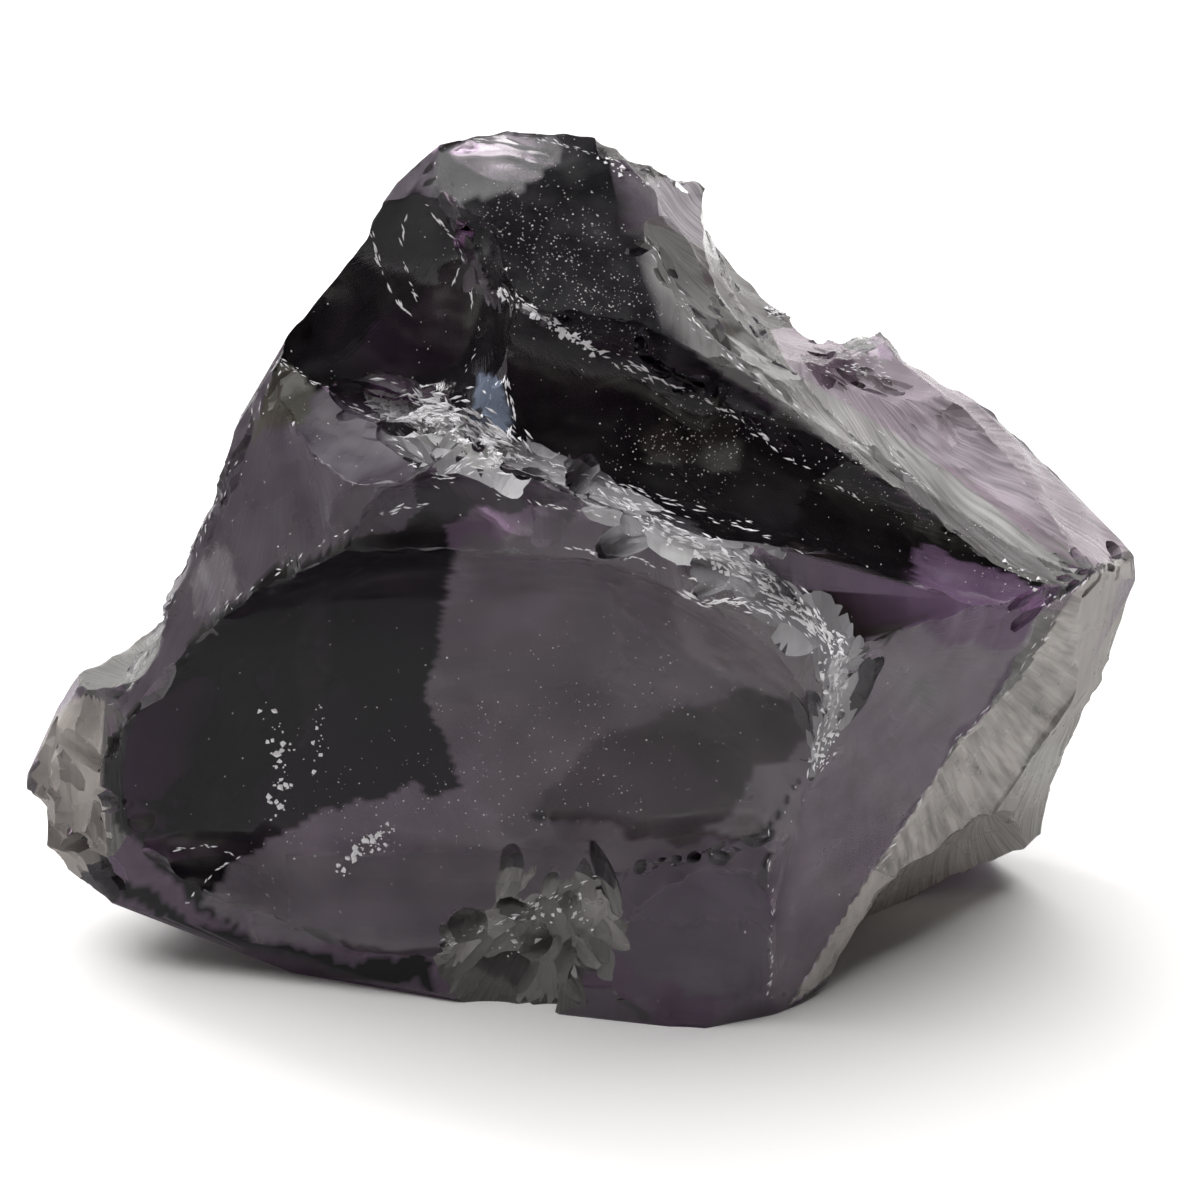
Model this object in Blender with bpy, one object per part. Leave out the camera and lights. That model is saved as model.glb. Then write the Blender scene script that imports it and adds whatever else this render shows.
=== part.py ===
"""Rough glass chunk: a hand-sized lump of dark violet glass, broken out of a larger mass.

The lump is one convex block, given by the corners where its flat fracture planes meet. Shell-shaped
scars are then struck out of it, and each leaves a sharp ridge where it meets its neighbours.
Millimetres here, metres in the scene. X runs right, Y to the back, Z up, and it rests on Z = 0.
"""

import math
from collections import namedtuple

import bmesh
import bpy
from mathutils import Matrix, Vector

# Units
MILLIMETRE = 0.001

# The corners are measured from a point under the middle ridge. This moves the origin to the
# middle of the footprint.
TO_MIDDLE = Vector((2.25, -5.35, 0.0))

# Corners of the block in millimetres, as (x, y, z)
CREST = {
    "peak_left": (-16.5, 4.0, 90.5),
    "peak": (-9.0, 9.0, 91.5),
    "peak_right": (-3.0, 10.0, 90.5),
    "crest_middle": (-0.5, 11.0, 89.0),
    "horn": (11.0, 13.0, 86.5),
    "brow_left": (-11.5, -8.0, 78.5),
    "brow_right": (49.5, -11.0, 48.5),
}
LEFT_FLANK = {
    "flank_high": (-21.0, 3.0, 87.5),
    "flank_middle": (-26.5, 0.0, 81.0),
    "flank_low": (-32.0, -4.0, 71.5),
    "flank_foot": (-33.5, -4.0, 69.5),
}
RIGHT_SHOULDER = {
    "shoulder_inner": (22.0, 18.0, 71.0),
    "shoulder_middle": (42.0, 18.0, 59.5),
    "shoulder_outer": (53.0, 12.0, 49.5),
    "right_tip_top": (58.5, 6.0, 45.0),
    "right_tip_bottom": (59.0, 6.0, 42.0),
    "right_heel": (53.0, 14.0, 8.0),
}
LEFT_LOBE = {
    "lobe_top": (-59.5, 3.0, 28.5),
    "lobe_back": (-63.5, 0.0, 21.0),
    "lobe_tip": (-63.5, -2.0, 18.5),
    "lobe_under": (-61.0, -4.0, 11.0),
    "lobe_foot": (-57.5, -6.0, 10.0),
}
MIDDLE_RIDGE = {
    "ridge_left": (-16.5, -27.0, 62.0),
    "ridge_middle": (4.0, -31.0, 63.0),
    "ridge_right": (24.0, -31.0, 47.0),
}
BACK = {
    "back_left": (-44.0, 24.0, 10.0),
    "back_middle_left": (-24.0, 38.0, 38.0),
    "back_middle_right": (16.0, 42.0, 28.0),
    "back_top_left": (-16.0, 28.0, 72.0),
    "back_top_right": (10.0, 30.0, 74.0),
    "back_right": (46.0, 30.0, 32.0),
}
# These lie on the ground, so the face between them is the flat one that the lump rests on.
FOOT = {
    "foot_right": (20.0, -16.5, 0.0),
    "foot_front": (10.5, -20.5, 0.0),
    "foot_middle": (0.0, -16.0, 0.0),
    "foot_left": (-12.5, -15.0, 0.0),
    "foot_far_left": (-34.0, -7.0, 0.0),
    "foot_back_left": (-38.0, 28.0, 0.0),
    "foot_back_right": (28.0, 36.0, 0.0),
    "foot_far_right": (45.0, 28.0, 0.0),
}

# A scar is a piece of an ellipsoid. deepest is its lowest point, faces is the (azimuth, elevation)
# in degrees that it opens towards: azimuth 0 is the front (-Y) and 90 the right (+X). roll turns
# it about that direction. size is its radius across, upward and in depth. finer is how many times
# its cutter's triangles are divided, one more for the large scars that show their curve.
Scar = namedtuple("Scar", "name deepest faces roll size finer")

FRONT_SCARS = [
    Scar("main_bowl", (-13.5, -9.0, 32.5), (-13, -9), 7, (48, 30, 24), 5),
    Scar("left_hollow", (-21.0, 1.0, 74.5), (-18, 18), -24, (21, 21, 24), 4),
    Scar("long_hollow_left", (1.0, -12.0, 64.5), (20, 32), -27, (32.5, 13.5, 18), 5),
    Scar("long_hollow_right", (26.0, -14.0, 54.5), (30, 36), -30, (32, 8, 12), 4),
    Scar("ridge_chip_left", (-14.0, -22.5, 62.0), (-20, -30), 16, (15, 7, 12), 4),
    Scar("ridge_chip_right", (14.0, -29.0, 54.5), (5, 10), -25, (20, 12, 18), 3),
    Scar("foot_chip_right", (9.5, -19.0, 16.0), (-8, -22), 12, (26, 26, 40), 4),
    Scar("foot_chip_left", (-8.5, -14.5, 9.0), (-14, -30), 12, (18, 15, 30), 4),
]
CREST_SCARS = [
    Scar("sweep_high", (10.5, 0.0, 75.5), (48, 46), -82, (24, 10.5, 14), 4),
    Scar("sweep_low", (27.5, -7.0, 61.0), (48, 46), -62, (29, 8, 12), 4),
    Scar("shoulder_bowl", (18.0, 8.0, 70.0), (60, 45), -90, (48, 14, 16), 5),
    Scar("horn_notch", (16.2, 14.0, 69.4), (90, 48), 0, (40, 13.5, 11), 4),
    Scar("crest_nick", (4.5, 12.0, 86.5), (90, 75), 0, (20, 7, 4), 3),
    Scar("shoulder_dip", (37.5, 16.0, 61.8), (90, 60), 0, (40, 16, 9), 4),
    Scar("shoulder_chip", (28.5, 10.0, 63.5), (40, 55), -35, (12, 8, 10), 3),
]
SIDE_SCARS = [
    Scar("right_face", (50.2, 3.7, 23.7), (66, -26), 0, (60, 70, 80), 5),
    Scar("right_undercut", (30.8, 1.5, 7.2), (60, -34), 0, (23, 22, 18), 4),
    Scar("left_notch", (-42.8, 1.0, 49.0), (-90, 26), 0, (40, 19.5, 6.5), 4),
    Scar("lobe_shelf", (-52.5, 0.0, 33.0), (-90, 62), 0, (40, 9, 6), 3),
    Scar("lobe_chip_top", (-55.0, -3.5, 27.0), (-40, 25), 0, (14, 12, 16), 3),
    Scar("lobe_chip_foot", (-58.8, -4.2, 15.8), (-30, -15), 0, (12, 14, 14), 3),
]
BACK_SCARS = [
    Scar("back_bowl_left", (-9.0, 25.0, 45.0), (194, 12), 20, (56, 44, 60), 5),
    Scar("back_bowl_right", (23.0, 23.5, 45.0), (150, 22), -30, (50, 38, 50), 5),
    Scar("back_foot_scar", (6.0, 29.0, 13.0), (175, -10), 5, (60, 30, 44), 4),
    Scar("back_left_scar", (-42.0, 19.5, 25.0), (-124, 0), 30, (38, 44, 44), 4),
    Scar("back_top_scar", (-21.5, 19.0, 70.0), (-146, 36), -40, (38, 32, 36), 4),
]

# Dark violet glass. The purple shows only where the lump is thin.
GLASS_COLOUR = (0.070, 0.055, 0.075, 1.0)
GLASS_IOR = 1.52
GLASS_ROUGHNESS = 0.08
GLASS_TRANSMISSION = 0.85


def clear_scene():
    """Start from an empty scene."""
    for thing in list(bpy.data.objects):
        bpy.data.objects.remove(thing, do_unlink=True)


def new_collection(name):
    """Add a collection to the scene."""
    collection = bpy.data.collections.new(name)
    bpy.context.scene.collection.children.link(collection)
    return collection


def cutter_collection():
    """A collection for the shapes that cut, kept out of the render."""
    collection = new_collection("scar_cutters")
    collection.hide_render = True
    return collection


def placed(point):
    """A point given in millimetres, measured in metres from the middle of the footprint."""
    return (Vector(point) + TO_MIDDLE) * MILLIMETRE


def glass_material():
    """Dark see-through glass with a smooth fracture surface."""
    material = bpy.data.materials.new("dark violet glass")
    material.use_nodes = True
    shader = material.node_tree.nodes["Principled BSDF"]
    shader.inputs["Base Color"].default_value = GLASS_COLOUR
    shader.inputs["Metallic"].default_value = 0.0
    shader.inputs["Roughness"].default_value = GLASS_ROUGHNESS
    shader.inputs["IOR"].default_value = GLASS_IOR
    shader.inputs["Transmission Weight"].default_value = GLASS_TRANSMISSION
    return material


def mesh_object(name, shape, collection):
    """Turn a finished shape into an object in a collection."""
    mesh = bpy.data.meshes.new(name)
    shape.to_mesh(mesh)
    shape.free()
    thing = bpy.data.objects.new(name, mesh)
    collection.objects.link(thing)
    return thing


def broken_block(collection):
    """The convex block between all the corners, before any scar is struck."""
    shape = bmesh.new()
    for corners in (CREST, LEFT_FLANK, RIGHT_SHOULDER, LEFT_LOBE, MIDDLE_RIDGE, BACK, FOOT):
        for corner in corners.values():
            shape.verts.new(placed(corner))
    hull = bmesh.ops.convex_hull(shape, input=shape.verts)
    inside = [item for item in hull["geom_interior"] if isinstance(item, bmesh.types.BMVert)]
    bmesh.ops.delete(shape, geom=inside, context="VERTS")
    bmesh.ops.recalc_face_normals(shape, faces=shape.faces)
    return mesh_object("glass_chunk", shape, collection)


def facing(azimuth, elevation):
    """Unit direction: azimuth 0 is the front, 90 the right, and elevation is upward."""
    azimuth = math.radians(azimuth)
    elevation = math.radians(elevation)
    return Vector(
        (
            math.sin(azimuth) * math.cos(elevation),
            -math.cos(azimuth) * math.cos(elevation),
            math.sin(elevation),
        )
    )


def scar_cutter(scar, collection):
    """The ellipsoid that leaves this scar: a unit ball, stretched, turned and put in place."""
    outward = facing(*scar.faces)
    sideways = facing(scar.faces[0] + 90.0, 0.0)
    upward = outward.cross(sideways)
    turned = Matrix((sideways, upward, outward)).transposed().to_4x4()
    rolled = Matrix.Rotation(math.radians(scar.roll), 4, "Z")
    stretched = Matrix.Diagonal((*scar.size, 1.0)) * MILLIMETRE
    stretched[3][3] = 1.0
    centre = placed(scar.deepest) + outward * scar.size[2] * MILLIMETRE
    shape = bmesh.new()
    bmesh.ops.create_icosphere(shape, subdivisions=scar.finer, radius=1.0)
    bmesh.ops.transform(
        shape,
        matrix=Matrix.Translation(centre) @ turned @ rolled @ stretched,
        verts=shape.verts,
    )
    cutter = mesh_object("cutter_" + scar.name, shape, collection)
    cutter.display_type = "WIRE"
    cutter.hide_render = True
    return cutter


def strike(block, scar, collection):
    """Take one scar out of the block."""
    cut = block.modifiers.new(scar.name, "BOOLEAN")
    cut.operation = "DIFFERENCE"
    cut.solver = "EXACT"
    cut.object = scar_cutter(scar, collection)


def build():
    """The finished lump in its own collection, at rest on its flat face."""
    clear_scene()
    lump_collection = new_collection("rough_glass_chunk")
    cutters = cutter_collection()
    block = broken_block(lump_collection)
    block.data.materials.append(glass_material())
    for scar in FRONT_SCARS + CREST_SCARS + SIDE_SCARS + BACK_SCARS:
        strike(block, scar, cutters)


build()
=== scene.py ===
# %% [markdown]
# # A rough glass chunk
# A lump of dark violet glass, broken out of a larger mass. Glass has no grain, so it breaks along
# smooth shells that spread from the point of each blow. The lump is therefore a plain block with
# many shells struck out of it, and its look comes from the ridges between them and from how the
# glass swallows light. This lesson strikes the same scars as the plain solid, but finely, with
# the ripples, splinters and dust that a real break shows.

# %% Load the plain solid
import math
import random

import bmesh
import bpy
import numpy as np
from mathutils import Matrix, Vector
from mathutils.bvhtree import BVHTree
from mathutils.kdtree import KDTree


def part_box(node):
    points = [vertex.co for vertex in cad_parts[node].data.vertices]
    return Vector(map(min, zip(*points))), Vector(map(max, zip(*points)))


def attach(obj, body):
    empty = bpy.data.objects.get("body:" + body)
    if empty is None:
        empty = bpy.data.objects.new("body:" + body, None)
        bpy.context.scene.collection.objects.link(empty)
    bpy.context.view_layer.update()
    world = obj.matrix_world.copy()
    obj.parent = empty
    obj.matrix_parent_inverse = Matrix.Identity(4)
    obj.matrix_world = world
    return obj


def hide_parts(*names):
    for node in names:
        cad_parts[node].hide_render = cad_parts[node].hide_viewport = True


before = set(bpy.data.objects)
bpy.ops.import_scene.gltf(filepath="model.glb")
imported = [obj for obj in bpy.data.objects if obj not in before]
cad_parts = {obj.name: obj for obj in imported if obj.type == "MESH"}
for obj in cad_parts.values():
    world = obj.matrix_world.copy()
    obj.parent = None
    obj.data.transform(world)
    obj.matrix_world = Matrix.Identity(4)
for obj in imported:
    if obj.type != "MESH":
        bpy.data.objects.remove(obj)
# Blender starts with things of its own, which aren't wanted here.
for startup in ("Cube", "Light", "Camera"):
    if startup in bpy.data.objects:
        bpy.data.objects.remove(bpy.data.objects[startup], do_unlink=True)
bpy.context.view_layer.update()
plain_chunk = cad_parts["glass_chunk"]
chunk_low, chunk_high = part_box("glass_chunk")
MM = 0.001
print("plain solid, mm:", [round((h - l) / MM, 1) for l, h in zip(chunk_low, chunk_high)])

# %% [markdown]
# ## Camera
# The photograph looks slightly down on the lump, about 20 degrees, from a normal hand-held
# distance. A long lens keeps the ridges straight. The lens is worked out from the width that the
# picture covers at the lump, so that the lump fills the frame as it does in the photograph.

# %% Place the camera
LOOKING_DOWN = math.radians(20.0)
CAMERA_DISTANCE = 350.0 * MM
PICTURE_WIDTH = 130.3 * MM
SENSOR_WIDTH = 36.0

aim = Vector((2.25, -5.35, 41.5)) * MM
backward = Vector((0.0, -math.cos(LOOKING_DOWN), math.sin(LOOKING_DOWN)))
camera_data = bpy.data.cameras.new("camera")
camera_data.sensor_width = SENSOR_WIDTH
camera_data.lens = SENSOR_WIDTH * CAMERA_DISTANCE / PICTURE_WIDTH
camera_data.clip_start = 0.01
camera = bpy.data.objects.new("camera", camera_data)
bpy.context.scene.collection.objects.link(camera)
camera.location = aim + backward * CAMERA_DISTANCE
camera.rotation_euler = backward.to_track_quat("Z", "Y").to_euler()
bpy.context.scene.camera = camera
print("lens, mm:", round(camera_data.lens, 1))

# %% [markdown]
# ## Finding a place on the lump
# The details below are placed where the photograph shows them. A place is given across and down the
# picture, which is 1200 wide and as high, and a ray from the camera finds the point of the lump
# that lies behind it.

# %% Look through the camera
PICTURE_PIXELS = 1200.0
UPWARD = backward.cross(Vector((1.0, 0.0, 0.0)))


def sight(across, down):
    """Direction from the camera through a place in the picture."""
    right = (across / PICTURE_PIXELS - 0.5) * PICTURE_WIDTH
    up = (0.5 - down / PICTURE_PIXELS) * PICTURE_WIDTH
    return (aim + Vector((right, 0.0, 0.0)) + UPWARD * up - camera.location).normalized()


def spot(across, down, tree=None):
    """The point in mm, and the normal, of the lump at a place in the picture."""
    place, normal, _, _ = (tree or solid_tree).ray_cast(camera.location, sight(across, down))
    return (place / MM, normal) if place else (None, None)


def search_tree(mesh):
    """A tree that finds where rays meet a mesh."""
    return BVHTree.FromPolygons([v.co for v in mesh.vertices], [p.vertices for p in mesh.polygons])


solid_tree = search_tree(plain_chunk.data)
print("middle of the big bowl, mm:", [round(c, 1) for c in spot(470, 708)[0]])

# %% [markdown]
# ## Colours and nodes
# Colours are written as the hex values that a picture editor shows, which are sRGB. Shaders work
# in linear light, so one function converts them. Another adds a node with its settings and links,
# and every material below is wired with it. A third turns a finished shape into an object.

# %% Colour, node and object helpers
def linear(hex_colour):
    """sRGB hex value to a linear RGBA colour."""
    channels = [int(hex_colour[i:i + 2], 16) / 255.0 for i in (1, 3, 5)]
    return tuple(c / 12.92 if c <= 0.04045 else ((c + 0.055) / 1.055) ** 2.4 for c in channels) + (1.0,)


def add_node(tree, kind, settings=None, links=None, **values):
    """A node of this kind, with its settings, its socket values and links into its sockets."""
    node = tree.nodes.new(kind)
    for name, value in (settings or {}).items():
        setattr(node, name, value)
    for name, value in values.items():
        node.inputs[name.replace("_", " ")].default_value = value
    for name, source in (links or {}).items():
        tree.links.new(source, node.inputs[name])
    return node


def empty_material(name):
    """A new material with nothing in it but its output."""
    material = bpy.data.materials.new(name)
    material.use_nodes = True
    material.node_tree.nodes.clear()
    output = material.node_tree.nodes.new("ShaderNodeOutputMaterial")
    return material, material.node_tree, output


def object_from(name, shape):
    """An object in the scene from a finished shape."""
    mesh = bpy.data.meshes.new(name)
    shape.to_mesh(mesh)
    shape.free()
    thing = bpy.data.objects.new(name, mesh)
    bpy.context.scene.collection.objects.link(thing)
    return thing


print("#808080 in linear light:", round(linear("#808080")[0], 3))

# %% [markdown]
# ## Floor and backdrop
# The lump stands on a pale sheet that curves up behind it, as in a small product studio. The
# sheet is one profile swept sideways. It is matt, so that it throws soft light back into the
# glass and the overhanging right face glows.

# %% Sweep the paper sheet
SHEET_HALF_WIDTH = 0.9
SHEET_FRONT = -0.9
SHEET_BACK = 0.55
SHEET_HEIGHT = 0.42
BEND_RADIUS = 0.25
BEND_STEPS = 12

profile = [(SHEET_FRONT, 0.0), (SHEET_BACK - BEND_RADIUS, 0.0)]
for step in range(1, BEND_STEPS + 1):
    angle = math.radians(90.0 * step / BEND_STEPS)
    profile.append((
        SHEET_BACK - BEND_RADIUS + BEND_RADIUS * math.sin(angle),
        BEND_RADIUS - BEND_RADIUS * math.cos(angle),
    ))
profile.append((SHEET_BACK, SHEET_HEIGHT))
sheet_shape = bmesh.new()
line = [sheet_shape.verts.new((-SHEET_HALF_WIDTH, y, z)) for y, z in profile]
edges = [sheet_shape.edges.new(pair) for pair in zip(line, line[1:])]
swept = bmesh.ops.extrude_edge_only(sheet_shape, edges=edges)
moved = [item for item in swept["geom"] if isinstance(item, bmesh.types.BMVert)]
bmesh.ops.translate(sheet_shape, verts=moved, vec=(2 * SHEET_HALF_WIDTH, 0.0, 0.0))
bmesh.ops.recalc_face_normals(sheet_shape, faces=sheet_shape.faces)
paper_sheet = object_from("paper_sheet", sheet_shape)
paper_sheet.data.shade_smooth()

paper, tree, output = empty_material("matt white background paper")
shader = add_node(tree, "ShaderNodeBsdfPrincipled", Base_Color=linear("#f6f5f4"), Roughness=0.9)
tree.links.new(shader.outputs["BSDF"], output.inputs["Surface"])
paper_sheet.data.materials.append(paper)
print("paper sheet faces:", len(paper_sheet.data.polygons))

# %% [markdown]
# ## Light
# Glass shows what stands round it. A wide overhead softbox, hidden from reflections, lights the
# paper evenly, and a narrow one behind gives the ridges their glints. A grey disc lies on the paper
# that only reflections see: a painted dark reflection for the glass to mirror. It keeps the big bowl
# dark violet instead of milky.

# %% Hang the softboxes
LUMP_MIDDLE = Vector((0.0, 0.0, 0.04))


def softbox(name, place, width, height, watts, mirrored=True):
    """A rectangular studio light that faces the lump."""
    data = bpy.data.lights.new(name, "AREA")
    data.shape = "RECTANGLE"
    data.size = width
    data.size_y = height
    data.energy = watts
    lamp = bpy.data.objects.new(name, data)
    bpy.context.scene.collection.objects.link(lamp)
    lamp.location = place
    lamp.rotation_euler = (Vector(place) - LUMP_MIDDLE).to_track_quat("Z", "Y").to_euler()
    lamp.visible_glossy = mirrored


softbox("overhead", (-0.10, 0.10, 1.1), 1.8, 1.5, 29.0, mirrored=False)
softbox("behind_left", (-0.50, 0.45, 0.60), 0.10, 0.30, 1.3)

# %% [markdown]
# The painted reflection is one flat grey disc, 0.2 mm above the paper. Only mirrored rays meet it:
# the camera, the shadows and the light that goes through the glass pass it by.

# %% Lay the grey disc that only reflections see
REFLECTION_DISC_RADIUS = 0.42

reflection_disc_shape = bmesh.new()
bmesh.ops.create_circle(reflection_disc_shape, cap_ends=True, segments=48, radius=REFLECTION_DISC_RADIUS)
table_top = object_from("table_top", reflection_disc_shape)
table_top.location = (0.0, -0.05, 0.0002)
for seen_by in ("visible_camera", "visible_diffuse", "visible_transmission", "visible_shadow"):
    setattr(table_top, seen_by, False)
# Painted dark reflection: an uneven grey that only the glass mirrors.
reflection_grey, tree, output = empty_material("grey seen only in reflections")
cloud = add_node(tree, "ShaderNodeTexNoise", Scale=9.0, Detail=3.0)
tone = add_node(tree, "ShaderNodeMapRange", links={"Value": cloud.outputs["Fac"]},
                To_Min=0.22, To_Max=0.44)
shader = add_node(tree, "ShaderNodeBsdfDiffuse", links={"Color": tone.outputs["Result"]})
tree.links.new(shader.outputs["BSDF"], output.inputs["Surface"])
table_top.data.materials.append(reflection_grey)
print("reflection-only disc, mm across:", round(2 * REFLECTION_DISC_RADIUS / MM))

# %% [markdown]
# The room is dim and uneven, brown and green in places, and that puts faint tints into the black
# hollows. It is lighter near the horizon, where the far table and the walls are, and that is what
# the lower half of the big bowl mirrors.

# %% Dim room
room = bpy.data.worlds.new("dim room")
room.use_nodes = True
sky_tree = room.node_tree
direction = add_node(sky_tree, "ShaderNodeTexCoord")
mottle = add_node(sky_tree, "ShaderNodeTexNoise", links={"Vector": direction.outputs["Generated"]},
                  Scale=2.6, Detail=3.0, Roughness=0.6)
tints = add_node(sky_tree, "ShaderNodeValToRGB", links={"Fac": mottle.outputs["Fac"]})
tints.color_ramp.elements[0].position = 0.36
tints.color_ramp.elements[0].color = linear("#26262b")
tints.color_ramp.elements[1].position = 0.68
tints.color_ramp.elements[1].color = linear("#8d8b86")
middle_tint = tints.color_ramp.elements.new(0.52)
middle_tint.color = linear("#4b4643")
height = add_node(sky_tree, "ShaderNodeSeparateXYZ", links={"Vector": direction.outputs["Generated"]})
horizon = add_node(sky_tree, "ShaderNodeMapRange", dict(interpolation_type="SMOOTHSTEP"),
                   links={"Value": height.outputs["Z"]},
                   From_Min=0.05, From_Max=0.55, To_Min=3.6, To_Max=0.35)
sky_tree.links.new(tints.outputs["Color"], sky_tree.nodes["Background"].inputs["Color"])
sky_tree.links.new(horizon.outputs["Result"], sky_tree.nodes["Background"].inputs["Strength"])
bpy.context.scene.world = room
bpy.context.scene.view_settings.view_transform = "Standard"
print("room nodes:", len(sky_tree.nodes))

# %% [markdown]
# ## The block before it was struck
# The plain solid already holds the scars. Wrapping it tightly gives back the block that they were
# struck from, so the fine scars can be cut into clean material and every place still comes from
# the plain solid.

# %% Wrap the plain solid
wrap = bmesh.new()
wrap.from_mesh(plain_chunk.data)
hull = bmesh.ops.convex_hull(wrap, input=wrap.verts)
hull_faces = {item for item in hull["geom"] if isinstance(item, bmesh.types.BMFace)}
bmesh.ops.delete(wrap, geom=[f for f in wrap.faces if f not in hull_faces], context="FACES")
bmesh.ops.delete(wrap, geom=[v for v in wrap.verts if not v.link_faces], context="VERTS")
bmesh.ops.recalc_face_normals(wrap, faces=wrap.faces)
wrap.normal_update()
block_tree = BVHTree.FromBMesh(wrap)
chunk = object_from("violet_glass_chunk", wrap)
chunk.data.attributes.new("struck", "INT", "FACE")
print("block faces:", len(chunk.data.polygons))

# %% [markdown]
# ## What a break looks like
# A blow sends a crack out from one point. Where it hesitates it leaves ripples that ring the
# point, and where it runs fast it leaves fine combs that fan away from it. A later, weaker wave can
# leave a shallow lobe with a soft rim. Each finish below gives the heights and spacings of these in
# millimetres, how frosted the surface is, and the tint of its skin: crushed glass scatters light,
# and clean deep glass gives none back. Ripples this fine could be a bump alone. They are real
# shape here, because they bend the reflections and break the ridges too.

# %% Describe the fine surface of a break
TO_MIDDLE = Vector((2.25, -5.35, 0.0))


def break_finish(ring, ring_gap, comb, comb_gap, swell, swell_gap, frost, skin_and_painted_light):
    """One kind of broken surface: heights and gaps in mm, its frost, and its surface tint."""
    return dict(ring=ring, ring_gap=ring_gap, comb=comb, comb_gap=comb_gap,
                swell=swell, swell_gap=swell_gap, frost=frost, skin_and_painted_light=skin_and_painted_light)


# Bare hollows, the bowl, the brow, and glass that is clear or nearly so
BLACK = break_finish(0.05, 3.0, 0.03, 1.7, 0.20, 7.0, 0.12, "#242124")
SMOOTH = break_finish(0.010, 5.0, 0.0, 1.5, 0.06, 20.0, 0.16, "#423c44")
DUSTY = break_finish(0.015, 4.0, 0.04, 1.6, 0.10, 9.0, 0.30, "#45424a")
VIOLET = break_finish(0.05, 3.4, 0.03, 1.7, 0.12, 10.0, 0.22, "#c3a5c8")
DEEP = break_finish(0.06, 3.6, 0.03, 1.7, 0.22, 13.0, 0.14, "#6d6470")
CLEAR = break_finish(0.04, 3.0, 0.02, 1.7, 0.10, 9.0, 0.08, "#ffffff")
# Combed, crushed and frosted breaks, which look pale
COMBED = break_finish(0.03, 4.5, 0.14, 1.3, 0.16, 9.0, 0.62, "#dcd8d2")
BROKEN = break_finish(0.10, 2.4, 0.12, 1.3, 0.30, 5.0, 0.50, "#cfcac8")
FROSTED = break_finish(0.03, 3.5, 0.05, 1.1, 0.14, 7.0, 0.60, "#a896ab")


def waves(u, v, gap, seed, count=7):
    """Uneven swelling between about -1 and 1: a few plane waves of nearly the same length."""
    chance = np.random.default_rng(seed)
    total = np.zeros_like(u)
    for _ in range(count):
        heading = chance.uniform(0.0, math.tau)
        length = gap * chance.uniform(0.7, 1.6)
        phase = chance.uniform(0.0, math.tau)
        total += np.sin((u * math.cos(heading) + v * math.sin(heading)) * math.tau / length + phase)
    return total / math.sqrt(count)


def combs(u, gap, seed):
    """Uneven lines across u, sharp on one side as splintered steps are."""
    bent = u + 0.35 * gap * np.sin(u * 1.7 / gap + seed)
    saw = (bent / gap) % 1.0
    finer = (bent * 2.63 / gap + 0.3) % 1.0
    return (saw - 0.5) * 1.2 + (finer - 0.5) * 0.5


def lobe_depth(u, v, lobes):
    """How much deeper the lobes make the scar at (u, v): each is a shallow dish with a clean rim."""
    deeper = np.zeros_like(u)
    for (across, up), (wide, tall), roll, depth in lobes:
        turn = math.radians(roll)
        x = (u - across) * math.cos(turn) + (v - up) * math.sin(turn)
        y = (v - up) * math.cos(turn) - (u - across) * math.sin(turn)
        deeper = np.maximum(deeper, depth * (1.0 - (x / wide) ** 2 - (y / tall) ** 2))
    return deeper


def break_height(u, v, blow, finish, seed):
    """Height in mm of the fine surface at (u, v) mm on a scar, above its smooth shell."""
    away = np.hypot(u - blow[0], v - blow[1])
    bearing = np.arctan2(v - blow[1], u - blow[0])
    wobble = waves(u, v, finish["swell_gap"], seed)
    rings = np.sin((away + 0.6 * wobble) * math.tau / finish["ring_gap"])
    patch = np.clip(0.55 + 0.6 * waves(u, v, PATCH_GAP, seed + 50), 0.0, 1.0)
    lines = combs(bearing * COMB_REACH + 0.4 * wobble, finish["comb_gap"], seed)
    fade = np.clip(away / COMBS_FULL_AT, 0.0, 1.0)
    return (
        finish["ring"] * rings * patch
        + finish["comb"] * lines * fade * patch
        + finish["swell"] * wobble
    )


# Millimetres from the blow at which the combs have their given gap, and their full height
COMB_REACH = 25.0
COMBS_FULL_AT = 12.0
# Millimetres between the patches in which the ripples come and go
PATCH_GAP = 14.0
print("finest ripple, mm:", min(f["ring_gap"] for f in (BLACK, SMOOTH, COMBED, BROKEN)))

# %% [markdown]
# ## Striking the shells
# A shell scar is a piece of an ellipsoid. Its cutter could be a sculpted tool, but a finely divided
# ball, stretched and pushed in and out by the ripple heights, is exact and repeats the solid's own
# scar. The Boolean modifier takes it out of the block, and a number on each face remembers which
# scar it belongs to.

# %% Helpers for cutting
def facing(azimuth, elevation):
    """Unit direction: azimuth 0 is the front, 90 the right, and elevation is upward."""
    azimuth, elevation = math.radians(azimuth), math.radians(elevation)
    level = math.cos(elevation)
    return Vector((math.sin(azimuth) * level, -math.cos(azimuth) * level, math.sin(elevation)))


def scar_axes(faces, roll):
    """Sideways, upward and outward directions of a scar, as the columns of a matrix."""
    outward = facing(*faces)
    sideways = facing(faces[0] + 90.0, 0.0)
    upward = outward.cross(sideways)
    turned = Matrix((sideways, upward, outward)).transposed()
    return turned @ Matrix.Rotation(math.radians(roll), 3, "Z")


def positions(mesh):
    """All vertex positions of a mesh as an array."""
    places = np.empty(len(mesh.vertices) * 3, np.float32)
    mesh.vertices.foreach_get("co", places)
    return places.reshape(-1, 3).astype(float)


def put_positions(mesh, places):
    """Write vertex positions back into a mesh."""
    mesh.vertices.foreach_set("co", places.astype(np.float32).ravel())
    mesh.update()


struck_scars = {}


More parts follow.
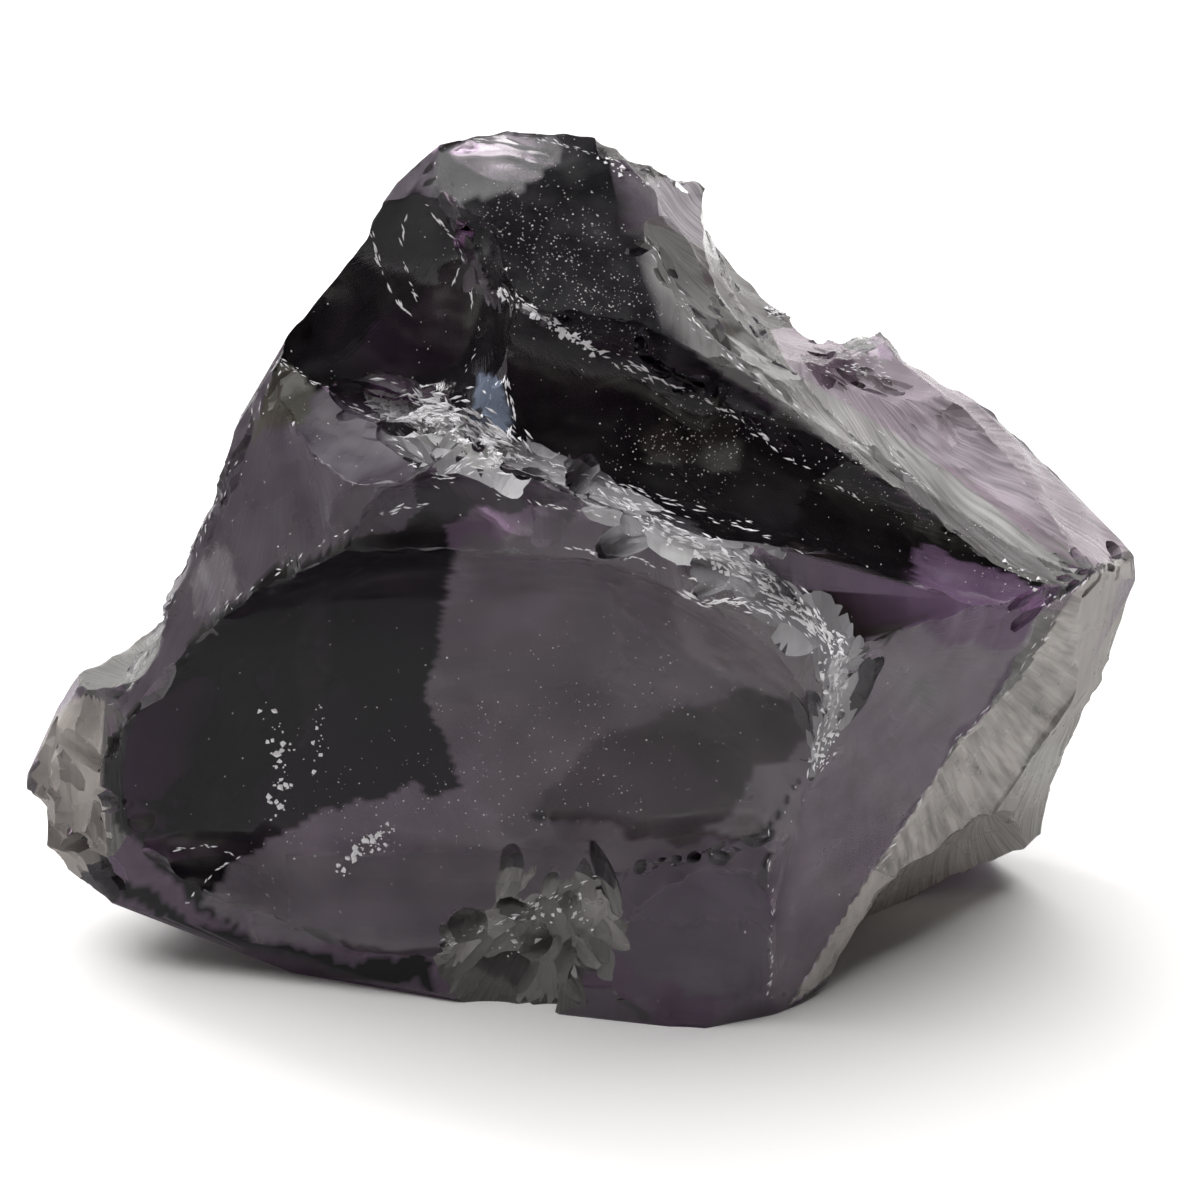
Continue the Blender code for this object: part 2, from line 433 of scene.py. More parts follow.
def subtract(cutter, number):
    """Take a cutter out of the chunk, mark the faces that it leaves, and throw it away."""
    marks = cutter.data.attributes.new("struck", "INT", "FACE")
    marks.data.foreach_set("value", np.full(len(cutter.data.polygons), number, np.int32))
    cut = chunk.modifiers.new("strike", "BOOLEAN")
    cut.operation = "DIFFERENCE"
    cut.solver = "MANIFOLD"
    cut.object = cutter
    with bpy.context.temp_override(object=chunk, active_object=chunk, selected_objects=[chunk]):
        bpy.ops.object.modifier_apply(modifier=cut.name)
    bpy.data.objects.remove(cutter, do_unlink=True)


def on_scar(place, centre, axes):
    """Sideways and upward position of a point on a scar, in mm."""
    local = axes.transposed() @ (place - centre)
    return local.x, local.y


def blow_and_dishes(blow, half_span, lobes, centre, axes):
    """The blow and the lobes on a scar, from places in the picture or in its own half sizes."""
    if max(abs(b) for b in blow) > IN_PICTURE:
        start = on_scar(spot(*blow)[0], centre, axes)
    else:
        start = (blow[0] * half_span[0], blow[1] * half_span[1])
    dishes = [
        (on_scar(spot(*seen)[0], centre, axes), half, turn, deep) for seen, half, turn, deep in lobes
    ]
    return start, dishes


# A blow given by numbers above this is a place in the picture, otherwise in the scar's half sizes.
IN_PICTURE = 5.0
print("a scar that faces right opens towards", [round(c, 2) for c in facing(90.0, 0.0)])

# %% [markdown]
# Each shell is struck by one function. Its ball is divided until its edges are about as short as the
# grain asked for, and the ripples are laid on it before the cut.

# %% Strike a shell
FEWEST_LEVELS, MOST_LEVELS = 5, 7


def strike_shell(name, deepest, faces, roll, size, blow, finish, grain=0.75, lobes=()):
    """Strike one ellipsoidal scar.

    blow is where the crack started, as a place in the picture or in the scar's own radii. Each
    lobe has its middle in the picture, its half sizes in mm, its roll and its depth.
    """
    number = len(struck_scars) + 1
    axes = scar_axes(faces, roll)
    centre = Vector(deepest) + TO_MIDDLE + facing(*faces) * size[2]
    start, dishes = blow_and_dishes(blow, size, lobes, centre, axes)
    widest = math.sqrt(sum(s * s for s in size) / 3.0)
    levels = FEWEST_LEVELS
    while levels < MOST_LEVELS and widest * 1.05 / 2 ** (levels - 1) > grain:
        levels += 1
    shape = bmesh.new()
    bmesh.ops.create_icosphere(shape, subdivisions=levels - int(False), radius=1.0)
    cutter = object_from("cutter_" + name, shape)
    ball = positions(cutter.data)
    stretched = ball * np.array(size)
    away = ball / np.array(size)
    away /= np.linalg.norm(away, axis=1)[:, None]
    u, v = stretched[:, 0], stretched[:, 1]
    heights = break_height(u, v, start, finish, number) - lobe_depth(u, v, dishes)
    stretched -= away * heights[:, None]
    placed = stretched @ np.array(axes).T + np.array(centre)
    put_positions(cutter.data, placed * MM)
    subtract(cutter, number)
    struck_scars[number] = dict(
        name=name, axes=axes, centre=centre, blow=start, finish=finish, lobes=dishes
    )


print("faces of a ball, fewest and most:", 20 * 4 ** (FEWEST_LEVELS - 1), 20 * 4 ** (MOST_LEVELS - 1))

# %% [markdown]
# ## Trimming the flat breaks
# Between the shells lie fracture planes that are almost flat. Each is cut with a fine grid, pushed
# up and down by the same ripple heights and closed into a slab. It is laid on the block's own face
# at a given place, a fraction of a millimetre deep.

# %% Trim a flat
SLAB_THICKNESS = 12.0


def trim_flat(name, near, span, roll, blow, finish, depth=0.35, grain=0.75, lobes=()):
    """Trim the block's face nearest a point with a rippled slab, span mm across."""
    number = len(struck_scars) + 1
    place, outward, _, _ = block_tree.find_nearest((Vector(near) + TO_MIDDLE) * MM)
    outward = outward.normalized()
    azimuth = math.degrees(math.atan2(outward.x, -outward.y))
    elevation = math.degrees(math.asin(outward.z))
    axes = scar_axes((azimuth, elevation), roll)
    centre = place / MM
    steps = [max(6, int(s / (grain * 1.0))) for s in span]
    shape = bmesh.new()
    bmesh.ops.create_grid(shape, x_segments=steps[0], y_segments=steps[1], size=0.5)
    for vert in shape.verts:
        vert.co.x *= span[0]
        vert.co.y *= span[1]
    raised = bmesh.ops.extrude_face_region(shape, geom=list(shape.faces))
    lid = [item for item in raised["geom"] if isinstance(item, bmesh.types.BMVert)]
    bmesh.ops.translate(shape, verts=lid, vec=(0.0, 0.0, SLAB_THICKNESS))
    bmesh.ops.recalc_face_normals(shape, faces=shape.faces)
    cutter = object_from("cutter_" + name, shape)
    local = positions(cutter.data)
    under = local[:, 2] < SLAB_THICKNESS / 2
    u, v = local[under, 0], local[under, 1]
    start, dishes = blow_and_dishes(blow, (span[0] / 2, span[1] / 2), lobes, centre, axes)
    local[under, 2] = break_height(u, v, start, finish, number) - depth - lobe_depth(u, v, dishes)
    placed = local @ np.array(axes).T + np.array(centre)
    put_positions(cutter.data, placed * MM)
    subtract(cutter, number)
    struck_scars[number] = dict(name=name, axes=axes, centre=centre, blow=start, finish=finish)


print("slab thickness, mm:", SLAB_THICKNESS)

# %% [markdown]
# ## Flat breaks of this lump
# The frosted pane at the left shoulder, the dusty brow under the crest, the violet face at the
# right front, the striated end face at the right and the facets of the left lobe. The last five are
# at the back and can be coarser.

# %% Trim the flats
trim_flat("left_pane", (-42.4, -4.6, 52.2), (62, 40), 60, (300, 380), FROSTED)
trim_flat("brow", (-4.1, -2.4, 83.1), (40, 30), 20, (480, 230), DUSTY)
trim_flat("brow_right", (31.1, -10.6, 59.7), (60, 30), -30, (560, 250), DUSTY)
trim_flat("violet_face", (31.7, -16.6, 25.1), (46, 66), 0, (850, 660), VIOLET)
trim_flat("right_band", (45.2, -11.7, 41.3), (60, 40), 60, (0.0, 2.4), COMBED)
trim_flat("front_low_left", (-30.0, -14.0, 14.0), (70, 30), 10, (0.9, 1.1), VIOLET)
trim_flat("front_low_right", (9.4, -23.4, 16.7), (40, 34), 0, (0.3, 1.3), VIOLET)
trim_flat("ridge_top", (4.0, -28.0, 66.0), (60, 26), -20, (-1.0, 0.8), BROKEN)
trim_flat("lobe_front", (-59.1, -4.4, 22.1), (24, 26), 0, (0.6, 1.0), COMBED)
trim_flat("shoulder_right", (50.0, 5.0, 52.0), (50, 34), -30, (-1.2, 0.5), COMBED)
trim_flat("back_left_low", (-36.0, 30.0, 24.0), (70, 60), 20, (0.4, 1.2), VIOLET, grain=1.3)
trim_flat("back_left_high", (-36.0, 18.0, 52.0), (70, 60), -20, (0.8, 1.0), FROSTED, grain=1.3)
trim_flat("back_right_low", (38.0, 34.0, 16.0), (70, 50), 10, (-0.7, 1.1), VIOLET, grain=1.3)
trim_flat("back_top", (-2.0, 24.0, 80.0), (50, 40), 0, (0.2, 1.1), FROSTED, grain=1.3)
trim_flat("right_heel", (56.0, 14.0, 22.0), (40, 60), 15, (0.3, 1.2), VIOLET, grain=1.3)
print("chunk faces:", len(chunk.data.polygons))

# %% [markdown]
# ## Shell scars of this lump
# The same scars as the plain solid has, in the same places: the large smooth bowl in front, two
# dark hollows under the crest, the combed sweep at the right of the crest, and the rest. The bowl
# has faint lobes, whose rims cross it as thin curved lines.

# %% Strike the front
strike_shell(
    "main_bowl", (-13.5, -9.0, 32.5), (-13, -9), 7, (48, 30, 24), (560, 530), SMOOTH, 0.6,
    lobes=[
        ((640, 650), (23, 17), -8, 0.9),
        ((665, 775), (15, 8.5), 18, 0.9),
        ((400, 860), (15, 14), 25, 0.7),
        ((200, 860), (6, 7), -10, 0.6),
    ],
)
strike_shell(
    "left_hollow", (-21.0, 1.0, 74.5), (-18, 18), -24, (21, 21, 24), (455, 215), BLACK,
    lobes=[
        ((350, 300), (7, 10), 20, 0.9),
        ((430, 330), (6, 9), -20, 0.8),
        ((465, 270), (4, 8), 10, 0.7),
    ],
)
strike_shell(
    "long_hollow_left", (1.0, -12.0, 64.5), (20, 32), -27, (32.5, 13.5, 18), (510, 320), BLACK,
    lobes=[((590, 370), (8, 6), 10, 0.7), ((700, 430), (10, 6), -20, 0.8)],
)
strike_shell("long_hollow_right", (26.0, -14.0, 54.5), (30, 36), -30, (32, 8, 12), (760, 480), BLACK)
strike_shell("ridge_chip_left", (-14.0, -22.5, 62.0), (-20, -30), 16, (15, 7, 12), (440, 420), VIOLET)
strike_shell("ridge_chip_right", (14.0, -29.0, 54.5), (5, 10), -25, (20, 12, 18), (700, 540), FROSTED)
strike_shell("foot_chip_right", (9.5, -19.0, 16.0), (-8, -22), 12, (26, 26, 40), (760, 850), VIOLET)
strike_shell("foot_chip_left", (-8.5, -14.5, 9.0), (-14, -30), 12, (18, 15, 30), (560, 880), BROKEN)
print("chunk faces:", len(chunk.data.polygons))

# %% Strike the crest
strike_shell("sweep_high", (10.5, 0.0, 75.5), (48, 46), -82, (24, 10.5, 14), (642, 215), COMBED, 0.5)
strike_shell("sweep_low", (27.5, -7.0, 61.0), (48, 46), -62, (29, 8, 12), (700, 300), COMBED, 0.5)
strike_shell("shoulder_bowl", (18.0, 8.0, 70.0), (60, 45), -90, (48, 14, 16), (780, 340), COMBED)
strike_shell("horn_notch", (16.2, 14.0, 69.4), (90, 48), 0, (40, 13.5, 11), (650, 200), COMBED)
strike_shell("crest_nick", (4.5, 12.0, 86.5), (90, 75), 0, (20, 7, 4), (0.0, 0.6), BROKEN)
strike_shell("shoulder_dip", (37.5, 16.0, 61.8), (90, 60), 0, (40, 16, 9), (800, 330), COMBED)
strike_shell("shoulder_chip", (28.5, 10.0, 63.5), (40, 55), -35, (12, 8, 10), (860, 360), VIOLET)
print("chunk faces:", len(chunk.data.polygons))

# %% Strike the sides and the back
strike_shell("right_face", (50.2, 3.7, 23.7), (66, -26), 0, (60, 70, 80), (1120, 570), COMBED)
strike_shell("right_undercut", (30.8, 1.5, 7.2), (60, -34), 0, (23, 22, 18), (0.3, 0.6), COMBED)
strike_shell("left_notch", (-42.8, 1.0, 49.0), (-90, 26), 0, (40, 19.5, 6.5), (0.2, 0.7), FROSTED)
strike_shell("lobe_shelf", (-52.5, 0.0, 33.0), (-90, 62), 0, (40, 9, 6), (0.2, 0.7), COMBED)
strike_shell("lobe_chip_top", (-55.0, -3.5, 27.0), (-40, 25), 0, (14, 12, 16), (0.0, 0.6), BROKEN)
strike_shell("lobe_chip_foot", (-58.8, -4.2, 15.8), (-30, -15), 0, (12, 14, 14), (0.0, 0.6), BROKEN)
strike_shell("back_bowl_left", (-9.0, 25.0, 45.0), (194, 12), 20, (56, 44, 60), (0.3, 0.6), DEEP, 1.1)
strike_shell("back_bowl_right", (23.0, 23.5, 45.0), (150, 22), -30, (50, 38, 50), (0.5, 0.4), FROSTED, 1.1)
strike_shell("back_foot_scar", (6.0, 29.0, 13.0), (175, -10), 5, (60, 30, 44), (-0.4, 0.5), VIOLET, 1.1)
strike_shell("back_left_scar", (-42.0, 19.5, 25.0), (-124, 0), 30, (38, 44, 44), (0.2, 0.5), VIOLET, 1.1)
strike_shell("back_top_scar", (-21.5, 19.0, 70.0), (-146, 36), -40, (38, 32, 36), (0.4, 0.4), VIOLET, 1.1)
print("chunk faces:", len(chunk.data.polygons))

# %% [markdown]
# ## Thin panes
# At the crest and on the right shoulder the glass is only a few millimetres thick, and the light
# behind it shows through as pale lavender windows. A long ball, laid along the line of sight a
# little behind the visible surface, hollows the far side until such a pane is left.

# %% Hollow the far side
def thin_pane(name, seen, thickness, size, roll=0.0, reach=24.0):
    """Leave glass of this thickness in mm behind a place in the picture."""
    number = len(struck_scars) + 1
    place, _ = spot(*seen)
    inward = sight(*seen)
    azimuth = math.degrees(math.atan2(inward.x, -inward.y))
    elevation = math.degrees(math.asin(inward.z))
    axes = scar_axes((azimuth, elevation), roll)
    centre = place + inward * (thickness + reach)
    shape = bmesh.new()
    bmesh.ops.create_icosphere(shape, subdivisions=5, radius=1.0)
    cutter = object_from("cutter_" + name, shape)
    ball = positions(cutter.data)
    swell = 1.0 + 0.05 * waves(ball[:, 0], ball[:, 1] + ball[:, 2], 0.8, number)
    # The ball's front is cut flat, so that the pane is even.
    ball[:, 2] = np.clip(ball[:, 2] * 1.7, -1.0, 1.0)
    placed = (ball * swell[:, None] * np.array((*size, reach))) @ np.array(axes).T + np.array(centre)
    put_positions(cutter.data, placed * MM)
    subtract(cutter, number)
    struck_scars[number] = dict(name=name, axes=axes, centre=centre, blow=(0.0, 0.0), finish=CLEAR)
    if max(size) < SMALL_PANE:
        window_places.append((place, max(size)))


# Chips are kept away from panes smaller than this, in mm, because they would break through.
SMALL_PANE = 9.0
window_places = []
thin_pane("crest_pane", (500, 170), 5.4, (7.5, 3.8), 12)
thin_pane("horn_pane", (664, 206), 11.0, (3.4, 4.2), -20)
thin_pane("shoulder_pane", (868, 342), 4.0, (4.5, 2.4), 25)
thin_pane("shoulder_window", (960, 450), 10.0, (28, 11), 33)
print("chunk faces:", len(chunk.data.polygons))

# %% [markdown]
# ## A ridge is never straight
# The cut so far is too perfect. The whole surface is shifted by slow waves, a fifth of a millimetre
# high, and by finer ones near the ridges. The foot stays flat.

# %% Waver
def waver(places, height, gap, seed):
    """Shift points by smooth waves, each axis with its own."""
    x, y, z = (places / MM).T
    shift = np.stack([
        waves(x + 0.31 * z, y - 0.27 * x, gap, seed),
        waves(y + 0.23 * x, z + 0.35 * y, gap, seed + 1),
        waves(z - 0.29 * y, x + 0.33 * z, gap, seed + 2),
    ], axis=1)
    return shift * height * MM


def ridge_distance(mesh, steepest=30.0):
    """Distance in mm from every vertex to the nearest edge that turns more than this angle."""
    shape = bmesh.new()
    shape.from_mesh(mesh)
    limit = math.radians(steepest)
    sharp = {v.index for e in shape.edges if e.calc_face_angle(0.0) > limit for v in e.verts}
    tree = KDTree(len(sharp))
    for index in sharp:
        tree.insert(mesh.vertices[index].co, index)
    tree.balance()
    distances = np.array([tree.find(v.co)[2] for v in mesh.vertices]) / MM
    shape.free()
    return distances


places = positions(chunk.data)
near_ridge = np.exp(-ridge_distance(chunk.data) / 0.9)
foot_fade = np.clip(places[:, 2] / (4.0 * MM), 0.0, 1.0)
shift = waver(places, 0.22, 17.0, 300) + waver(places, 0.13, 2.6, 320) * near_ridge[:, None]
put_positions(chunk.data, places + shift * foot_fade[:, None])
print("largest shift, mm:", round(float(np.abs(shift).max()) / MM, 2))

# %% [markdown]
# ## Chips along the ridges
# Every sharp ridge of broken glass loses flakes. Points are picked at random along the ridges, and
# a small ball is sunk into one side of the ridge at each. Balls that would overlap are cut in
# separate rounds, because a cutter must not run through itself.

# %% Cut many small chips at once
# The numbers that mark the chips on the ridges and in the belts
RIDGE_CHIPS, BELT_CHIPS = 1000, 2000


def many_solids(name, points, faces):
    """One object from the points, in mm, and the faces of many small solids."""
    mesh = bpy.data.meshes.new(name)
    mesh.from_pydata((np.concatenate(points) * MM).tolist(), [], np.concatenate(faces).tolist())
    thing = bpy.data.objects.new(name, mesh)
    bpy.context.scene.collection.objects.link(thing)
    return thing


def cut_chips(chips, first_number):
    """Cut chips, each (centre, radii, axes, seed, detail) in mm, in rounds that don't overlap."""
    rounds = []
    for chip in chips:
        reach = max(chip[1]) * 1.15
        for group in rounds:
            if all((chip[0] - other[0]).length > reach + max(other[1]) * 1.15 for other in group):
                group.append(chip)
                break
        else:
            rounds.append([chip])
    ball_shape = {}
    for detail in (1, 2, 3):
        ball = bmesh.new()
        bmesh.ops.create_icosphere(ball, subdivisions=detail, radius=1.0)
        mesh = bpy.data.meshes.new("ball")
        ball.to_mesh(mesh)
        ball.free()
        faces = np.array([p.vertices[:] for p in mesh.polygons])
        ball_shape[detail] = (positions(mesh), faces)
        bpy.data.meshes.remove(mesh)
    for number, group in enumerate(rounds):
        points, faces, total = [], [], 0
        for centre, radii, axes, seed, detail in group:
            ball, ball_faces = ball_shape[detail]
            lumpy = 1.0 + 0.06 * waves(ball[:, 0] * 2 + ball[:, 2], ball[:, 1] * 2, 1.7, seed)
            chip = ball * lumpy[:, None] * np.array(radii)
            points.append(chip @ np.array(axes).T + np.array(centre))
            faces.append(ball_faces + total)
            total += len(ball)
        subtract(many_solids("chips", points, faces), first_number + number)
    return len(rounds)


def axes_towards(outward, turn):
    """Axes with the third along outward, turned about it."""
    base = outward.to_track_quat("Z", "Y").to_matrix()
    return base @ Matrix.Rotation(turn, 3, "Z")


def ball_detail(radius):
    """How often a chip's ball is divided, by its radius in mm."""
    return 1 if radius < 0.8 else 2 if radius < 2.6 else 3


print("a ball of 2 mm is divided", ball_detail(2.0), "times")

# %% [markdown]
# A longer edge is picked more often. At the back the ridges are blunter, so a smaller turn counts
# as a ridge there. Most chips have a radius of 1 to 2 mm, and a few reach 6 mm.

# %% Chip the ridges
chance = random.Random(41)
shape = bmesh.new()
shape.from_mesh(chunk.data)
SHARP_RIDGE = math.radians(32.0)
BLUNT_RIDGE = math.radians(14.0)
BACK_FROM = 14.0 * MM
ridges = [
    e for e in shape.edges
    if len(e.link_faces) == 2 and min(v.co.z for v in e.verts) > 1.2 * MM
    and e.calc_face_angle_signed(0.0) > (BLUNT_RIDGE if e.verts[0].co.y > BACK_FROM else SHARP_RIDGE)
]
lengths = [e.calc_length() for e in ridges]
chips = []
for edge in chance.choices(ridges, lengths, k=430):
    first, second = (f.normal for f in edge.link_faces)
    lean = chance.uniform(0.15, 0.85)
    outward = (first * lean + second * (1.0 - lean)).normalized()
    along = (edge.verts[1].co - edge.verts[0].co).normalized()
    sideways = outward.cross(along).normalized()
    radius = 0.8 + 5.0 * chance.random() ** 2.6
    depth = chance.uniform(0.04, 0.10) * radius ** 0.7 + 0.04
    radii = (radius * 1.3, radius * chance.uniform(0.4, 0.7), radius * chance.uniform(0.6, 1.0))
    axes = Matrix((along, sideways, outward)).transposed()
    if axes.determinant() < 0:
        axes = Matrix((-along, sideways, outward)).transposed()
    centre = edge.verts[0].co.lerp(edge.verts[1].co, chance.random()) / MM + outward * (radii[2] - depth)
    chips.append((centre, radii, axes, chance.randrange(9999), ball_detail(radius)))
shape.free()
chunk_tree = search_tree(chunk.data)
# A ball that some other face comes too close to would bite deep there.
chips = [c for c in chips if chunk_tree.find_nearest(c[0] * MM)[3] / MM > 0.72 * min(c[1])]
chips = [
    c for c in chips if all((c[0] - w).length > reach + max(c[1]) * 0.6 for w, reach in window_places)
]
rounds = cut_chips(chips, RIDGE_CHIPS)
print("ridge chips:", len(chips), "in rounds:", rounds, "chunk faces:", len(chunk.data.polygons))

# %% [markdown]
# ## Crushed belts
# Where a blow landed the ridge is crushed into a belt of small overlapping flakes. Each belt is a
# path across the picture with a width, and its chips are sunk into the surface that shows there.

# %% Scatter the flakes of a belt
# A flake's half length, half width and half height, as shares of its size
FLAKE_SHARES = ((1.2, 2.0), (0.35, 0.6), (0.5, 1.0))


def stray(path, width, chance, extra=0.0):
    """A place near a path in the picture, and the way that the path runs there."""
    legs = list(zip(path, path[1:]))
    (x0, y0), (x1, y1) = chance.choices(legs, [math.dist(*leg) + extra for leg in legs])[0]
    t = chance.random()
    across = x0 + (x1 - x0) * t + chance.gauss(0.0, width * 0.5)
    down = y0 + (y1 - y0) * t + chance.gauss(0.0, width * 0.5)
    return across, down, Vector((x1 - x0, 0.0, 0.0)) + UPWARD * (y0 - y1)


def belt(path, width, count, radius, seed, steep=0.5):
    """Chips scattered along a path in the picture, with radii in mm between the two given."""
    chance = random.Random(seed)
    made = []
    for _ in range(count):
        across, down, course = stray(path, width, chance)
        place, normal = spot(across, down, chunk_tree)
        if place is None or place.z < 1.5:
            continue
        tilt = Vector([chance.gauss(0.0, steep) for _ in range(3)])
        outward = (normal + tilt).normalized()
        size = chance.uniform(*radius)
        radii = tuple(size * chance.uniform(*share) for share in FLAKE_SHARES)
        depth = chance.uniform(0.05, 0.14) * radii[2] + 0.05
        axes = axes_towards(outward, chance.uniform(0.0, math.tau))
        if chance.random() < 0.75:
            heading = course + Vector([chance.gauss(0.0, 9.0) for _ in range(3)])
            along = (heading - outward * heading.dot(outward)).normalized()
            axes = Matrix((along, outward.cross(along), outward)).transposed()
        centre = place + outward * (radii[2] - depth)
        made.append((centre, radii, axes, chance.randrange(9999), ball_detail(size)))
    return made


print("a flake's length, in sizes:", FLAKE_SHARES[0])

# %% Cut the belts
# Path, width, how many, radii in mm, seed, and how unevenly the flakes lie
BELTS = [
    ([(372, 402), (440, 440), (515, 455), (600, 492), (660, 530), (720, 560), (790, 605), (840, 650)],
     11, 120, (1.4, 5.0), 5),
    ([(372, 405), (430, 425), (500, 450)], 16, 60, (1.0, 3.4), 6, 0.8),
    ([(450, 960), (520, 910), (580, 900), (600, 940), (540, 985)], 24, 90, (1.2, 4.0), 7),
    ([(640, 228), (700, 320), (780, 392), (860, 452)], 7, 20, (0.8, 2.2), 8),
    ([(490, 292), (560, 325), (640, 355), (720, 400), (800, 455)], 5, 44, (0.6, 1.8), 9),
    ([(1040, 600), (1080, 580), (1120, 560)], 12, 24, (1.0, 2.6), 10),
    ([(60, 720), (45, 800), (90, 870), (75, 740)], 20, 44, (2.0, 5.0), 11),
    ([(600, 155), (640, 165), (690, 178)], 5, 16, (0.6, 1.8), 12),
    ([(440, 160), (455, 215), (485, 290)], 7, 36, (0.8, 2.4), 13),
    ([(845, 650), (835, 700), (815, 760)], 12, 40, (1.4, 3.8), 14),
    ([(285, 365), (230, 480), (160, 620)], 8, 30, (1.0, 2.8), 15),
    ([(770, 310), (800, 300), (840, 375), (890, 390)], 12, 40, (0.8, 2.6), 16),
    ([(760, 838), (600, 880), (440, 950)], 6, 50, (0.5, 1.5), 17),
]
chunk_tree = search_tree(chunk.data)
belt_chips = [chip for row in BELTS for chip in belt(*row)]
belt_chips = [
    c for c in belt_chips if all((c[0] - w).length > reach * 0.9 + c[1][1] for w, reach in window_places)
]
rounds = cut_chips(belt_chips, BELT_CHIPS)
print("belt chips:", len(belt_chips), "in rounds:", rounds, "chunk faces:", len(chunk.data.polygons))
